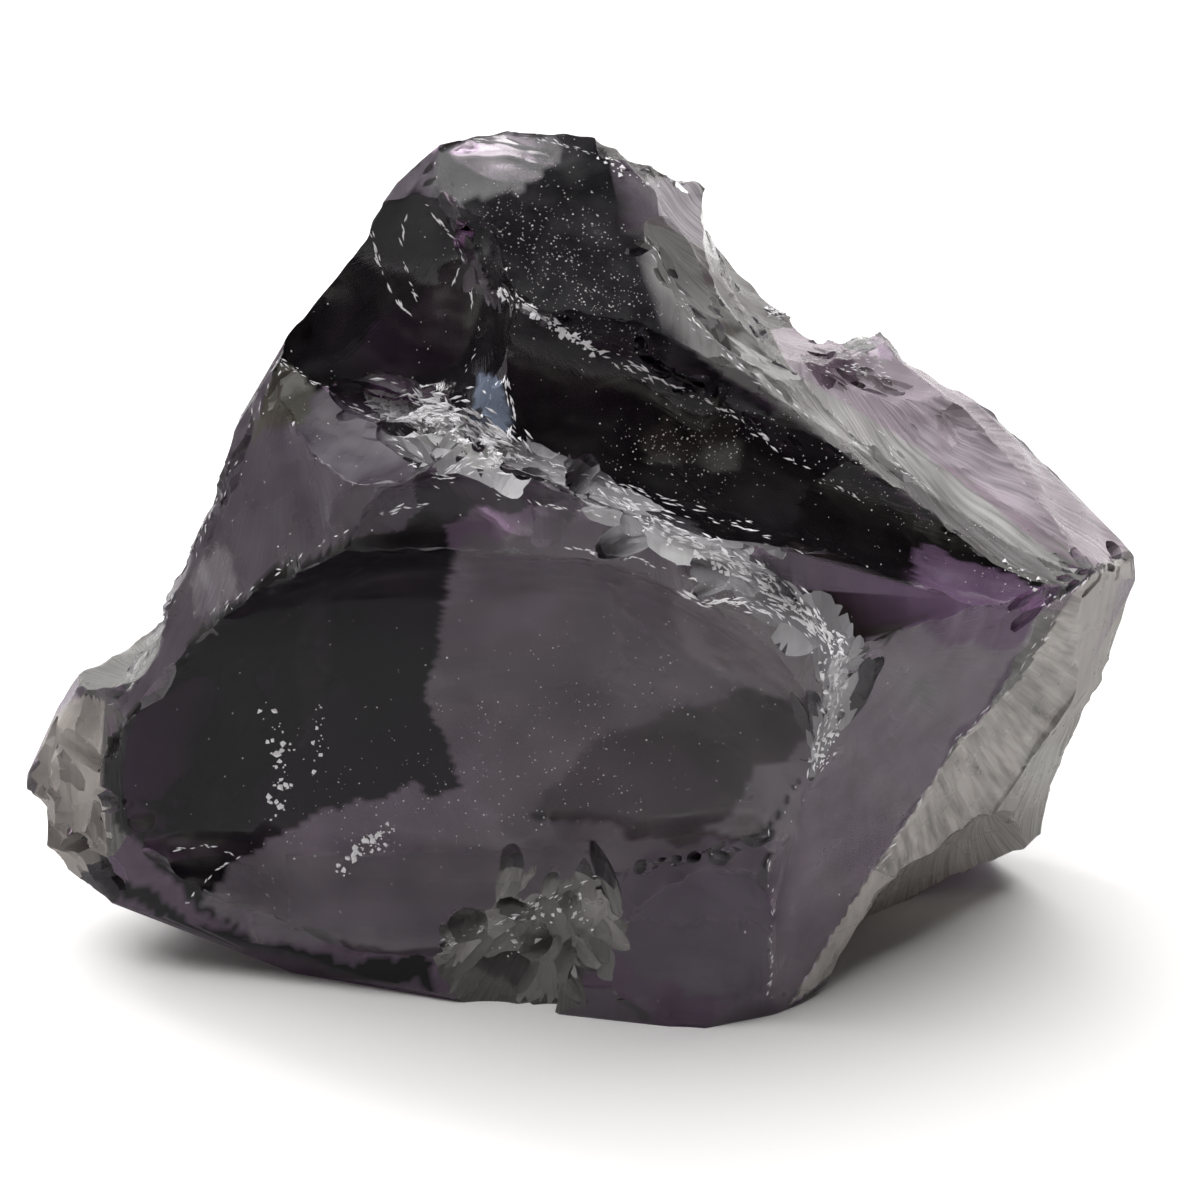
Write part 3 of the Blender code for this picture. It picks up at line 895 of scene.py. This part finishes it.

# %% [markdown]
# ## Patches
# The breaks of the photographed lump aren't evenly frosted. Some are black and bare, some carry a
# milky film of crushed glass, and at the crest clear windows show the light behind. A few patches
# are painted light instead: painted shade on the left of the bowl and along the underside, and
# painted reflections at the lower lip of the left hollow. Each patch is an outline in the picture
# with the tint of its film, its frost and how milky it is. The outlines could be painted by hand on
# an unwrapped image. Kept as outlines they follow the camera instead, and stay sharp at any size.

# %% Outline the patches
# Outline, tint, frost, milkiness, and the faces that it takes: the shell, the chips, or all. A milky
# patch tones its chips apart. One that isn't milky has a drifting outline, and a clear window, marked
# by -1, has neither. Above MILKY_FROM the faces get the milky glass.
MILKY_FROM = 0.30
PATCHES = [
    # The big bowl: painted shade at the left, then three shells of thin grey film with sharp fronts.
    ([(100, 780), (105, 740), (165, 680), (205, 620), (260, 580), (330, 540), (400, 508), (450, 495),
      (450, 590), (425, 690), (460, 780), (530, 850), (460, 945), (260, 940), (200, 910), (110, 820)],
     "#332f35", 0.14, 0.0, "shell"),
    # Darker painted shade at the far left of the bowl.
    ([(100, 780), (105, 740), (165, 680), (205, 660), (225, 740), (200, 860), (110, 820)],
     "#221f24", 0.14, 0.0, "shell"),
    ([(200, 905), (240, 860), (330, 810), (420, 790), (470, 790), (530, 850), (490, 935), (420, 950),
      (350, 945), (260, 940)], "#dccfde", 0.20, 0.0, "shell"),
    ([(455, 560), (470, 540), (520, 530), (600, 530), (700, 580), (800, 635), (840, 710), (760, 690),
      (640, 720), (530, 810), (530, 850), (460, 780), (425, 690)], "#cdc1ce", 0.18, 0.0, "shell"),
    ([(690, 575), (760, 600), (820, 640), (840, 705), (765, 690), (700, 665), (670, 620)],
     "#f2e6ee", 0.22, 0.0, "shell"),
    ([(530, 810), (580, 755), (640, 720), (760, 690), (840, 705), (815, 750), (765, 830), (690, 845),
      (600, 820)], "#9a9097", 0.18, 0.0, "shell"),
    ([(700, 840), (765, 770), (835, 715), (815, 760), (765, 832)], "#e6dce6", 0.22, 0.0, "shell"),
    ([(530, 850), (540, 815), (600, 825), (690, 848), (600, 872), (540, 905), (490, 935)],
     "#dcd0dd", 0.20, 0.0, "shell"),
    ([(300, 600), (330, 590), (325, 700), (300, 760)], "#4a444a", 0.3, 0.0, "shell"),
    # The left pane and its yellowish top corner
    ([(280, 362), (370, 405), (435, 515), (290, 565), (200, 625), (150, 640), (225, 480)],
     "#a99bae", 0.55, 0.0, "all"),
    ([(280, 362), (325, 382), (300, 420), (250, 435)], "#98917f", 0.6, 0.0, "all"),
    ([(190, 570), (235, 550), (235, 600), (195, 620)], "#efe2f2", 0.2, 0.0, "all"),
    ([(370, 402), (430, 440), (515, 462), (570, 500), (435, 518)], "#5b4d5e", 0.22, 0.0, "shell"),
    # The left hollow and the long hollow
    ([(290, 355), (330, 270), (400, 205), (445, 190), (490, 290), (515, 400), (500, 430), (380, 402)],
     "#3f3b40", 0.10, 0.0, "shell"),
    ([(490, 292), (640, 372), (800, 465), (1000, 570), (915, 610), (790, 540), (650, 520), (510, 452)],
     "#353034", 0.12, 0.0, "shell"),
    ([(640, 430), (740, 425), (745, 465), (650, 470)], "#5f5550", 0.4, 0.0, "shell"),
    # A bluish-white painted reflection of the sky, from a crack just under the lip.
    ([(478, 372), (500, 378), (513, 415), (508, 442), (482, 438), (470, 420)],
     "#9fabc4", 0.35, 0.7, "all"),
    # The dusty brow under the crest
    ([(455, 200), (600, 150), (640, 230), (700, 350), (790, 410), (900, 475), (800, 465), (640, 372),
      (490, 290)], "#2b282f", 0.30, 0.0, "all"),
    # The combed sweep, milky from its fine steps
    ([(640, 222), (690, 235), (720, 330), (790, 375), (880, 430), (1010, 530), (1070, 590), (1000, 560),
      (880, 478), (780, 410), (700, 360), (655, 290)], "#a9a5a6", 0.62, 0.55, "all"),
    ([(720, 330), (790, 372), (880, 420), (960, 480), (1080, 575), (1010, 545), (870, 455), (770, 395)],
     "#ece8e8", 0.62, 0.8, "all"),
    # The pale shoulder
    ([(770, 330), (840, 320), (930, 360), (1000, 425), (1060, 480), (1135, 545), (1100, 570),
      (1000, 500), (880, 425), (790, 370)], "#ead9e6", 0.45, 0.75, "all"),
    ([(840, 325), (905, 352), (890, 362), (845, 348)], "#ffffff", 0.1, -1.0, "all"),
    ([(800, 355), (850, 350), (860, 385), (820, 385)], "#8d7688", 0.3, 0.75, "all"),
    # Clear windows at the crest and behind the horn
    ([(440, 150), (500, 134), (560, 138), (560, 158), (520, 190), (455, 202), (432, 185)],
     "#ffffff", 0.10, -1.0, "all"),
    ([(648, 176), (700, 178), (712, 235), (720, 262), (668, 226), (650, 196)],
     "#fbf3fa", 0.20, 0.8, "all"),
    # The violet face at the right, its brighter pane, and the facet below the bowl
    ([(845, 660), (900, 600), (1060, 590), (960, 740), (860, 890), (790, 1005), (770, 1005), (770, 835),
      (820, 750)], "#fdeaff", 0.34, 0.0, "shell"),
    ([(925, 545), (1060, 590), (1010, 655), (900, 625)], "#dcb4e4", 0.16, 0.0, "all"),
    ([(790, 545), (915, 610), (895, 640), (830, 650)], "#544648", 0.2, 0.0, "all"),
    ([(765, 835), (770, 1005), (700, 1000), (620, 960), (600, 872), (700, 845)],
     "#cbbcd1", 0.22, 0.0, "shell"),
    # A dark strip along the underside, which faces down: painted shade.
    ([(100, 860), (200, 925), (340, 960), (440, 955), (430, 990), (240, 960), (130, 900)],
     "#2b292c", 0.2, 0.0, "all"),
    # Crushed belts: every flake has its own tone, some nearly white
    ([(365, 395), (515, 435), (620, 475), (700, 505), (800, 550), (865, 640), (850, 710), (800, 660),
      (720, 605), (640, 570), (560, 525), (500, 500), (430, 475)], "#e6e3e8", 0.42, 0.5, "chips"),
    ([(372, 398), (515, 448), (620, 492), (700, 530), (790, 580), (850, 645), (845, 690), (790, 620),
      (700, 565), (640, 535), (560, 490), (440, 440)], "#8c848f", 0.35, 0.0, "shell"),
    # White where the belt begins: crushed glass, with a painted silvery sheen of cracks that mirror the
    # sky.
    ([(372, 398), (440, 405), (515, 450), (490, 470), (430, 445)], "#ffffff", 0.5, 1.0, "all"),
    ([(425, 890), (560, 860), (640, 900), (620, 1000), (430, 1000)], "#bdb9b8", 0.4, 0.5, "chips"),
    ([(450, 950), (520, 905), (575, 890), (610, 920), (590, 975), (520, 990)],
     "#8d898a", 0.4, 0.0, "shell"),
    ([(815, 640), (855, 645), (852, 720), (825, 790), (795, 765), (822, 700)],
     "#e6e3e8", 0.42, 0.5, "chips"),
    # The striated end face and the left lobe
    ([(1110, 560), (1135, 560), (1130, 640), (1060, 830), (980, 870), (790, 1005), (860, 890), (960, 740),
      (1020, 680), (1075, 590)], "#f6f0ea", 0.60, 0.75, "all"),
    ([(28, 820), (45, 720), (75, 695), (105, 700), (100, 780), (110, 850), (60, 890)],
     "#e8dfd9", 0.5, 0.7, "all"),
]
print("patches outlined:", len(PATCHES))

# %% [markdown]
# ## What each face remembers
# The finish needs to know, for every face, how frosted it is, the tint of its skin, how strong its
# combs are, and how far it lies from the blow and in which direction. A face knows the number of the
# scar that left it, and each scar has its own values. They go into attributes for the material.

# %% Collect the values by scar
mesh = chunk.data
print("faces mended:", mesh.validate(verbose=False))
count = len(mesh.polygons)
marks = np.empty(count, np.int32)
mesh.attributes["struck"].data.foreach_get("value", marks)
middles = np.empty(count * 3, np.float32)
mesh.polygons.foreach_get("center", middles)
middles = middles.reshape(-1, 3) / MM
frost = np.full(count, 0.25)
comb = np.full(count, 0.3)
skin_and_painted_light = np.tile(linear("#c9b9cc"), (count, 1))
corner_count = np.array([len(p.vertices) for p in mesh.polygons])
corner_face = np.repeat(np.arange(count), corner_count)
corner_vert = np.empty(len(mesh.loops), np.int32)
mesh.loops.foreach_get("vertex_index", corner_vert)
corners_mm = (positions(mesh) / MM)[corner_vert]
corner_marks = marks[corner_face]
fan = np.zeros((len(corner_vert), 3))
fan[:, :2] = corners_mm[:, [0, 2]]
chance = np.random.default_rng(12)
for number in np.unique(marks):
    mine = marks == number
    if number in struck_scars:
        scar = struck_scars[number]
        frost[mine] = scar["finish"]["frost"]
        comb[mine] = min(1.0, scar["finish"]["comb"] * 8.0)
        skin_and_painted_light[mine] = linear(scar["finish"]["skin_and_painted_light"])
        local = (middles[mine] - np.array(scar["centre"])) @ np.array(scar["axes"])
        film = lobe_depth(local[:, 0], local[:, 1], scar.get("lobes", ()))[:, None]
        if scar["name"] == "main_bowl":
            skin_and_painted_light[mine] += np.clip(film * 6.0, 0.0, 1.0) * (np.array(linear("#8f7f90")) - skin_and_painted_light[mine])
        theirs = corner_marks == number
        local = (corners_mm[theirs] - np.array(scar["centre"])) @ np.array(scar["axes"])
        u, v = local[:, 0] - scar["blow"][0], local[:, 1] - scar["blow"][1]
        apart = np.full(len(u), number * 7.0)
        fan[theirs] = np.stack([np.arctan2(v, u) * COMB_REACH, np.hypot(u, v), apart], 1)
    elif number >= RIDGE_CHIPS:
        frost[mine] = 0.15 if number < BELT_CHIPS else 0.4
        comb[mine] = 0.15
        skin_and_painted_light[mine] = linear(chance.choice(("#a29ca4", "#b9b3ba", "#ada7ae", "#c6c0c6")))
print("chip faces:", int((marks >= RIDGE_CHIPS).sum()), "of", count)

# %% [markdown]
# ## Laying the patches
# A patch tints only what the camera sees, so each face is tested first: it has to face the camera
# with nothing in front of it. The sides and the back, which no patch reaches, get uneven blotches
# of film instead. An outline drifts by a few pixels along its length, so that it doesn't look cut.

# %% Lay the patches
def in_picture(places):
    """Where points given in mm stand in the picture, across and down."""
    away = places * MM - np.array(camera.location)
    ahead = away @ -np.array(backward)
    scale = CAMERA_DISTANCE / ahead * PICTURE_PIXELS / PICTURE_WIDTH
    middle = PICTURE_PIXELS / 2
    return np.stack([middle + away[:, 0] * scale, middle - (away @ np.array(UPWARD)) * scale], 1)


def inside(points, outline):
    """Which points lie within an outline: the crossings of a line to the right are counted."""
    result = np.zeros(len(points), bool)
    for (x0, y0), (x1, y1) in zip(outline, outline[1:] + outline[:1]):
        between = (points[:, 1] < y0) != (points[:, 1] < y1)
        with np.errstate(divide="ignore", invalid="ignore"):
            crossing = x0 + (points[:, 1] - y0) * (x1 - x0) / (y1 - y0)
        result ^= between & (points[:, 0] < crossing)
    return result


seen_at = in_picture(middles)
towards = np.array([f.normal.dot(camera.location - f.center) for f in mesh.polygons])
tree_now = search_tree(mesh)
in_view = towards > 0
for index in np.flatnonzero(in_view):
    middle = Vector(middles[index]) * MM
    path = middle - camera.location
    _, _, _, reach = tree_now.ray_cast(camera.location, path.normalized())
    in_view[index] = reach is None or reach > path.length - 0.8 * MM
x, y, z = corners_mm.T
blotch = waves(x + 0.4 * z, y + 0.8 * z, 24.0, 97, 11)
blotch = blotch + 0.5 * waves(y + 0.3 * x, z - 0.6 * x, 9.0, 98, 11)
away_side = ~in_view[corner_face]
is_chip = marks >= RIDGE_CHIPS
corner_at = in_picture(corners_mm)
skin_and_painted_light, frost = skin_and_painted_light[corner_face], frost[corner_face]
skin_and_painted_light[away_side] *= np.clip(0.68 + 0.50 * blotch, 0.18, 1.20)[away_side, None]
frost[away_side] *= np.clip(0.8 - 0.5 * blotch, 0.4, 1.6)[away_side]
milk = np.zeros(count)
across, down = corner_at.T
drift = [waves(across, down, 60.0, k) * 5.0 + waves(across, down, 17.0, k + 9) for k in (91, 92)]
cloudy = 1.0 + 0.10 * waves(across, down, 90.0, 95)[:, None]
chip_tone = np.random.default_rng(5).uniform(0.50, 1.15, int(marks.max()) + 1)[marks]
for outline, tint, frosted, milky, on in PATCHES:
    allowed = {"shell": ~is_chip, "chips": is_chip, "all": np.full(count, True)}[on]
    faces_in = in_view & inside(seen_at, outline) & allowed
    milk[faces_in] = milky
    found = inside(corner_at + np.stack(drift, 1) * (milky == 0.0), outline)
    found &= (in_view & allowed)[corner_face]
    found[is_chip[corner_face]] = (faces_in & is_chip)[corner_face][is_chip[corner_face]]
    colour = np.array(linear(tint)) * cloudy[found]
    if milky > 0.0:
        colour = colour * np.where(is_chip, chip_tone, 1.0)[corner_face][found][:, None]
    skin_and_painted_light[found] = colour
    frost[found] = frosted
skin_and_painted_light = np.clip(skin_and_painted_light, 0.0, 1.0)
print("patches:", len(PATCHES), "faces in view:", int(in_view.sum()))

# %% [markdown]
# ## Handing the values to the material
# Frost, tint and the direction of the combs are stored at the corners of the faces, so that they
# run smoothly across them. The tint also carries the painted shade and painted reflections of a few
# patches. How strong the combs are is one value a face.

# %% Write the attributes
for name, kind, domain, part, values in (
    ("frost", "FLOAT", "CORNER", "value", frost),
    ("comb", "FLOAT", "FACE", "value", comb),
    ("fan", "FLOAT_VECTOR", "CORNER", "vector", fan),
    ("skin_and_painted_light", "FLOAT_COLOR", "CORNER", "color", skin_and_painted_light),
):
    layer = mesh.attributes.new(name, kind, domain)
    layer.data.foreach_set(part, values.astype(np.float32).ravel())
print("faces by scar:", {struck_scars[n]["name"]: int((marks == n).sum()) for n in struck_scars})

# %% [markdown]
# ## Glass
# Soda-lime glass coloured by manganese: colourless at the surface, violet all through. A thin edge
# lets most of the light out again, and a few centimetres swallow nearly all of it, so the colour is
# a volume that absorbs and not a paint. A fresh break is bright as polish. Where the crack ran fast
# or the ridge was crushed it is frosted, which the stored attributes drive: the roughness rises with
# the frost, and fine combs, about 0.4 mm apart, run away from each blow as a bump and as pale
# streaks. A second, milky glass is the same but for a larger share of light that its skin scatters.
# It makes the pale sweep, the shoulder and the end face, where steps too fine to see look white.

# %% Violet glass
CLEAR_SHARE = 0.86
MILKY_SHARE = 0.60
GLASS_IOR = 1.52
VIOLET_LEFT = (0.25, 0.0, 0.25, 1.0)
ABSORPTION = 140.0


def violet_glass(name, clear):
    """Violet glass that lets this share of the light in and scatters the rest at its skin."""
    material, tree, output = empty_material(name)
    frost = add_node(tree, "ShaderNodeAttribute", dict(attribute_name="frost"))
    comb = add_node(tree, "ShaderNodeAttribute", dict(attribute_name="comb"))
    fan = add_node(tree, "ShaderNodeAttribute", dict(attribute_name="fan"))
    skin_and_painted_light = add_node(tree, "ShaderNodeAttribute", dict(attribute_name="skin_and_painted_light"))
    place = add_node(tree, "ShaderNodeTexCoord")

    cloud = add_node(tree, "ShaderNodeTexNoise", links={"Vector": place.outputs["Object"]},
                     Scale=150.0, Detail=2.0, Roughness=0.65)
    patchy = add_node(tree, "ShaderNodeMapRange", links={"Value": cloud.outputs["Fac"]},
                      From_Min=0.35, From_Max=0.70, To_Min=0.35, To_Max=1.15)
    frosting = add_node(tree, "ShaderNodeMath", dict(operation="MULTIPLY"))
    tree.links.new(frost.outputs["Fac"], frosting.inputs[0])
    tree.links.new(patchy.outputs["Result"], frosting.inputs[1])
    roughness = add_node(tree, "ShaderNodeMapRange", links={"Value": frosting.outputs["Value"]},
                         From_Min=0.0, From_Max=0.7, To_Min=0.04, To_Max=0.52)

    stretch = add_node(tree, "ShaderNodeVectorMath", dict(operation="MULTIPLY"),
                       links={"Vector": fan.outputs["Vector"]})
    stretch.inputs[1].default_value = (2.4, 0.09, 1.0)
    lines = add_node(tree, "ShaderNodeTexNoise", links={"Vector": stretch.outputs["Vector"]},
                     Scale=1.0, Detail=2.0, Roughness=0.6)
    line_height = add_node(tree, "ShaderNodeMath", dict(operation="MULTIPLY"))
    tree.links.new(lines.outputs["Fac"], line_height.inputs[0])
    tree.links.new(comb.outputs["Fac"], line_height.inputs[1])
    line_bump = add_node(tree, "ShaderNodeBump", links={"Height": line_height.outputs["Value"]},
                         Strength=0.7, Distance=0.00015)

    streaks = add_node(tree, "ShaderNodeMapRange", links={"Value": lines.outputs["Fac"]},
                       From_Min=0.32, From_Max=0.68, To_Min=0.55, To_Max=1.25)
    mottle = add_node(tree, "ShaderNodeMapRange", links={"Value": cloud.outputs["Fac"]},
                      From_Min=0.30, From_Max=0.70, To_Min=0.80, To_Max=1.15)
    shade = add_node(tree, "ShaderNodeMix", dict(data_type="FLOAT"))
    tree.links.new(comb.outputs["Fac"], shade.inputs[0])
    tree.links.new(mottle.outputs["Result"], shade.inputs[2])
    tree.links.new(streaks.outputs["Result"], shade.inputs[3])
    film = add_node(tree, "ShaderNodeHueSaturation",
                    links={"Color": skin_and_painted_light.outputs["Color"], "Value": shade.outputs[0]})
    shader = add_node(
        tree, "ShaderNodeBsdfPrincipled",
        links={
            "Base Color": film.outputs["Color"],
            "Roughness": roughness.outputs["Result"],
            "Normal": line_bump.outputs["Normal"],
        },
        IOR=GLASS_IOR, Transmission_Weight=clear,
    )
    depth_colour = add_node(tree, "ShaderNodeVolumeAbsorption", Color=VIOLET_LEFT, Density=ABSORPTION)
    tree.links.new(shader.outputs["BSDF"], output.inputs["Surface"])
    tree.links.new(depth_colour.outputs["Volume"], output.inputs["Volume"])
    return material


glass = violet_glass("manganese violet soda-lime glass, freshly broken", CLEAR_SHARE)
# The milky glass also takes the painted reflections at the lower lip of the left hollow.
milky_glass = violet_glass("violet soda-lime glass, milky with fine crushed steps", MILKY_SHARE)
print("nodes in each glass:", len(glass.node_tree.nodes))

# %% [markdown]
# ## Dust and crushed flakes
# Breaking glass throws white powder over the lump, and grains of it stay on every face. Where the
# ridges were crushed, small white splinters still cling. Both are real little solids, because they
# stand proud and catch light on their own. A grain is a four-sided crumb, a splinter a lumpy wedge.

# %% Crumbs on the surface
def crumbs(name, places, sizes, flatness, material, seed):
    """One mesh of small four-sided crumbs at these (place, normal), sizes in mm."""
    chance = np.random.default_rng(seed)
    corners = np.array([(1, 1, 1), (1, -1, -1), (-1, 1, -1), (-1, -1, 1)], float) / math.sqrt(3.0)
    faces = np.array([(0, 2, 1), (0, 1, 3), (0, 3, 2), (1, 2, 3)])
    points, triangles = [], []
    for (place, normal), size in zip(places, sizes):
        axes = np.array(axes_towards(normal, chance.uniform(0.0, math.tau)))
        shape = corners * chance.uniform(0.6, 1.4, (4, 3)) * np.array((1.0, 1.0, flatness)) * size
        triangles.append(faces + 4 * len(points))
        points.append(shape @ axes.T + np.array(place) + np.array(normal) * size * flatness * 0.35)
    thing = many_solids(name, points, triangles)
    thing.data.materials.append(material)
    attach(thing, "root")
    print(name, "crumbs:", len(points))


def broken_white(name, colour, roughness):
    """Glass so full of breaks that it is white."""
    material, tree, output = empty_material(name)
    place = add_node(tree, "ShaderNodeTexCoord")
    speckle = add_node(tree, "ShaderNodeTexNoise", links={"Vector": place.outputs["Object"]},
                       Scale=900.0, Detail=2.0)
    tone = add_node(tree, "ShaderNodeMapRange", links={"Value": speckle.outputs["Fac"]},
                    To_Min=0.75, To_Max=1.1)
    shade = add_node(tree, "ShaderNodeHueSaturation", links={"Value": tone.outputs["Result"]},
                     Color=linear(colour))
    shader = add_node(tree, "ShaderNodeBsdfPrincipled", links={"Base Color": shade.outputs["Color"]},
                      Roughness=roughness, IOR=1.5)
    tree.links.new(shader.outputs["BSDF"], output.inputs["Surface"])
    return material


# Dry powder scatters light every way, so each grain is a soft pale dot.
powder = broken_white("white glass powder, dry", "#cfcbcb", 0.9)
# A splinter is as white inside, but its skin is smoother and gives it a small glint.
splinter = broken_white("crushed glass, white from its many cracks", "#e9e7ea", 0.35)

final_tree = search_tree(chunk.data)


def scatter(path, width, count, seed):
    """Places on the visible surface along a path in the picture."""
    chance = random.Random(seed)
    found = []
    while len(found) < count:
        across, down, _ = stray(path, width, chance, 1.0)
        place, normal = spot(across, down, final_tree)
        if place is not None:
            found.append((place, normal))
    return found


print("materials of the crumbs:", powder.name, "and", splinter.name)

# %% [markdown]
# About half of the dust lies anywhere, more of it on faces that look up. The rest lies where the
# photograph shows it: under the crest, in the long hollow, in the bowl and below the sweep.

# %% Dust
chance = random.Random(77)
dust = []
faces = chunk.data.polygons
upward = [p.area * max(0.12, 0.25 + p.normal.z) for p in faces]
for index in chance.choices(range(len(faces)), upward, k=1500):
    face = faces[index]
    corners = [chunk.data.vertices[i].co for i in face.vertices[:3]]
    a, b = sorted((chance.random(), chance.random()))
    place = corners[0] * a + corners[1] * (b - a) + corners[2] * (1.0 - b)
    if place.z > 0.4 * MM:
        dust.append((place / MM, face.normal.copy()))
for row in (
    ([(470, 230), (560, 210), (640, 330), (520, 270)], 60, 700, 21),
    ([(640, 440), (740, 450)], 45, 260, 22),
    ([(700, 640), (480, 800), (300, 830)], 120, 520, 23),
    ([(700, 400), (900, 500), (1030, 570)], 28, 200, 24),
):
    dust += scatter(*row)
sizes = [0.055 + 0.10 * chance.random() ** 3.0 for _ in dust]
crumbs("glass_dust", dust, sizes, 0.6, powder, 31)

# %% [markdown]
# ## Slivers
# The lips of the hollows and the crushed belts glitter with thin slivers that lie along the break.
# A bright line could be painted. Small solids are used, because they break the line up and each
# catches the light in its own way. They are 0.3 to 2 mm long.

# %% Place slivers along a path
def slivers(path, width, count, length, seed):
    """Thin bright slivers that follow a path in the picture: (place, along, outward, size)."""
    chance = random.Random(seed)
    made = []
    for _ in range(count):
        across, down, course = stray(path, width, chance)
        place, normal = spot(across, down, final_tree)
        if place is None:
            continue
        heading = course.normalized() + Vector([chance.gauss(0.0, 0.22) for _ in range(3)])
        along = (heading - normal * heading.dot(normal)).normalized()
        made.append((place, along, normal, length * chance.uniform(0.3, 1.0)))
    return made


print("slivers on a test stretch:", len(slivers([(498, 288), (560, 328)], 5, 3, 1.6, 1)))

# %% Lay the slivers
# Path in the picture, width, how many, and their length in mm
LIPS = [
    ([(498, 288), (560, 328), (600, 352), (660, 380)], 5, 70, 1.6),
    ([(660, 380), (730, 412), (800, 465), (860, 500)], 4, 40, 1.3),
    ([(378, 400), (440, 408), (512, 448)], 18, 240, 2.2),
    ([(400, 440), (440, 480), (470, 462), (520, 470)], 10, 60, 1.5),
    ([(505, 380), (515, 420), (508, 445)], 4, 26, 1.6),
    ([(600, 487), (660, 520), (720, 552), (790, 600), (840, 650)], 13, 230, 1.9),
    ([(680, 590), (700, 605), (740, 600), (790, 620)], 6, 60, 1.4),
    ([(512, 455), (600, 480), (700, 512), (790, 540)], 6, 60, 1.4),
    ([(372, 232), (378, 262), (395, 300), (412, 318)], 2, 26, 1.3),
    ([(408, 205), (400, 250), (416, 300)], 2, 18, 1.2),
    ([(425, 205), (455, 240), (465, 262), (452, 285)], 2, 22, 1.2),
    ([(470, 290), (480, 340), (465, 370)], 3, 14, 1.0),
    ([(810, 372), (850, 366), (893, 378)], 6, 34, 1.1),
    ([(800, 362), (840, 352), (880, 362)], 5, 22, 0.9),
    ([(775, 318), (800, 303)], 7, 30, 1.2),
    ([(640, 232), (700, 330), (780, 396), (870, 452)], 5, 40, 1.5),
    ([(880, 430), (900, 470), (930, 490)], 3, 16, 1.3),
    ([(840, 650), (835, 700), (815, 770)], 9, 60, 1.3),
    ([(1110, 562), (1060, 600), (1020, 680), (960, 740), (870, 885)], 4, 60, 1.4),
    ([(280, 362), (330, 390), (375, 420)], 5, 30, 1.0),
    ([(150, 645), (190, 560), (225, 480), (275, 370)], 6, 40, 1.1),
    ([(205, 620), (260, 580), (330, 540), (400, 508), (500, 495), (600, 515)], 3, 50, 1.1),
    ([(440, 945), (540, 905), (600, 870)], 6, 40, 1.1),
    ([(185, 905), (215, 870), (250, 850)], 2, 14, 1.0),
    ([(175, 850), (205, 845), (235, 855)], 2, 12, 0.9),
    ([(450, 150), (520, 132), (600, 155), (690, 176)], 4, 50, 0.9),
    ([(700, 178), (712, 235), (745, 280)], 3, 20, 1.0),
    ([(770, 1000), (772, 900), (768, 830)], 3, 24, 1.0),
    ([(560, 545), (640, 560), (720, 590)], 2, 26, 1.0),
]
corners = np.array([(1, 0, 0), (-1, 0, 0), (0, 1, 0.2), (0, -1, 0.2), (0.1, 0, 1)], float)
faces = np.array([(0, 2, 4), (2, 1, 4), (1, 3, 4), (3, 0, 4), (0, 3, 2), (1, 2, 3)])
points, triangles = [], []
for number, (path, width, many, length) in enumerate(LIPS):
    for place, along, outward, size in slivers(path, width, many, length, 500 + number):
        axes = np.stack([along, outward.cross(along), outward], 1)
        thin = max(0.05, 0.10 * size)
        triangles.append(faces + 5 * len(points))
        points.append((corners * (size * 0.5, thin, thin * 0.8)) @ axes.T + np.array(place))
glass_slivers = many_solids("glass_slivers", points, triangles)
glass_slivers.data.materials.append(splinter)
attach(glass_slivers, "root")
print("slivers:", len(points))

# %% [markdown]
# ## Splinters
# White splinters fill the crushed places between the slivers, and a few have fallen into the bowl.

# %% Splinters
SPLINTERED = [
    ([(268, 700), (285, 760), (270, 815)], 13, 46, 41),
    ([(320, 700), (318, 770)], 9, 16, 42),
    ([(375, 402), (440, 425), (515, 455)], 14, 170, 43),
    ([(500, 293), (560, 330), (600, 352)], 5, 50, 44),
    ([(600, 492), (660, 530), (720, 570), (800, 610), (840, 650)], 12, 90, 45),
    ([(770, 310), (800, 305)], 8, 26, 46),
    ([(340, 868), (390, 828)], 9, 60, 47),
    ([(820, 650), (840, 700), (815, 770)], 11, 70, 51),
    ([(1000, 560), (1050, 600), (1040, 640)], 8, 30, 48),
    ([(500, 950), (560, 900), (600, 930)], 20, 40, 49),
    ([(600, 160), (640, 180), (690, 180)], 5, 26, 50),
]
shards = [found for row in SPLINTERED for found in scatter(*row)]
sizes = [0.12 + 0.42 * chance.random() ** 2.5 for _ in shards]
crumbs("glass_splinters", shards, sizes, 0.45, splinter, 32)

# %% [markdown]
# ## Finish the piece
# Ridges stay sharp and shells stay smooth: the shading is smooth except across edges that turn
# more than 28 degrees. The chips are flat-shaded, as the small facets that they are.

# %% Shade and hand over the chunk
RIDGE_TURN = math.radians(28.0)

chunk.data.shade_smooth()
chunk.data.set_sharp_from_angle(angle=RIDGE_TURN)
sharp_faces = chunk.data.attributes.get("sharp_face")
if sharp_faces is None:
    sharp_faces = chunk.data.attributes.new("sharp_face", "BOOLEAN", "FACE")
sharp_faces.data.foreach_set("value", is_chip)
chunk.data.materials.clear()
for kind in (glass, milky_glass):
    chunk.data.materials.append(kind)
chunk.data.polygons.foreach_set("material_index", (milk > MILKY_FROM).astype(np.int32))
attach(chunk, "root")
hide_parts("glass_chunk")
print("triangles:", sum(len(p.vertices) - 2 for p in chunk.data.polygons))
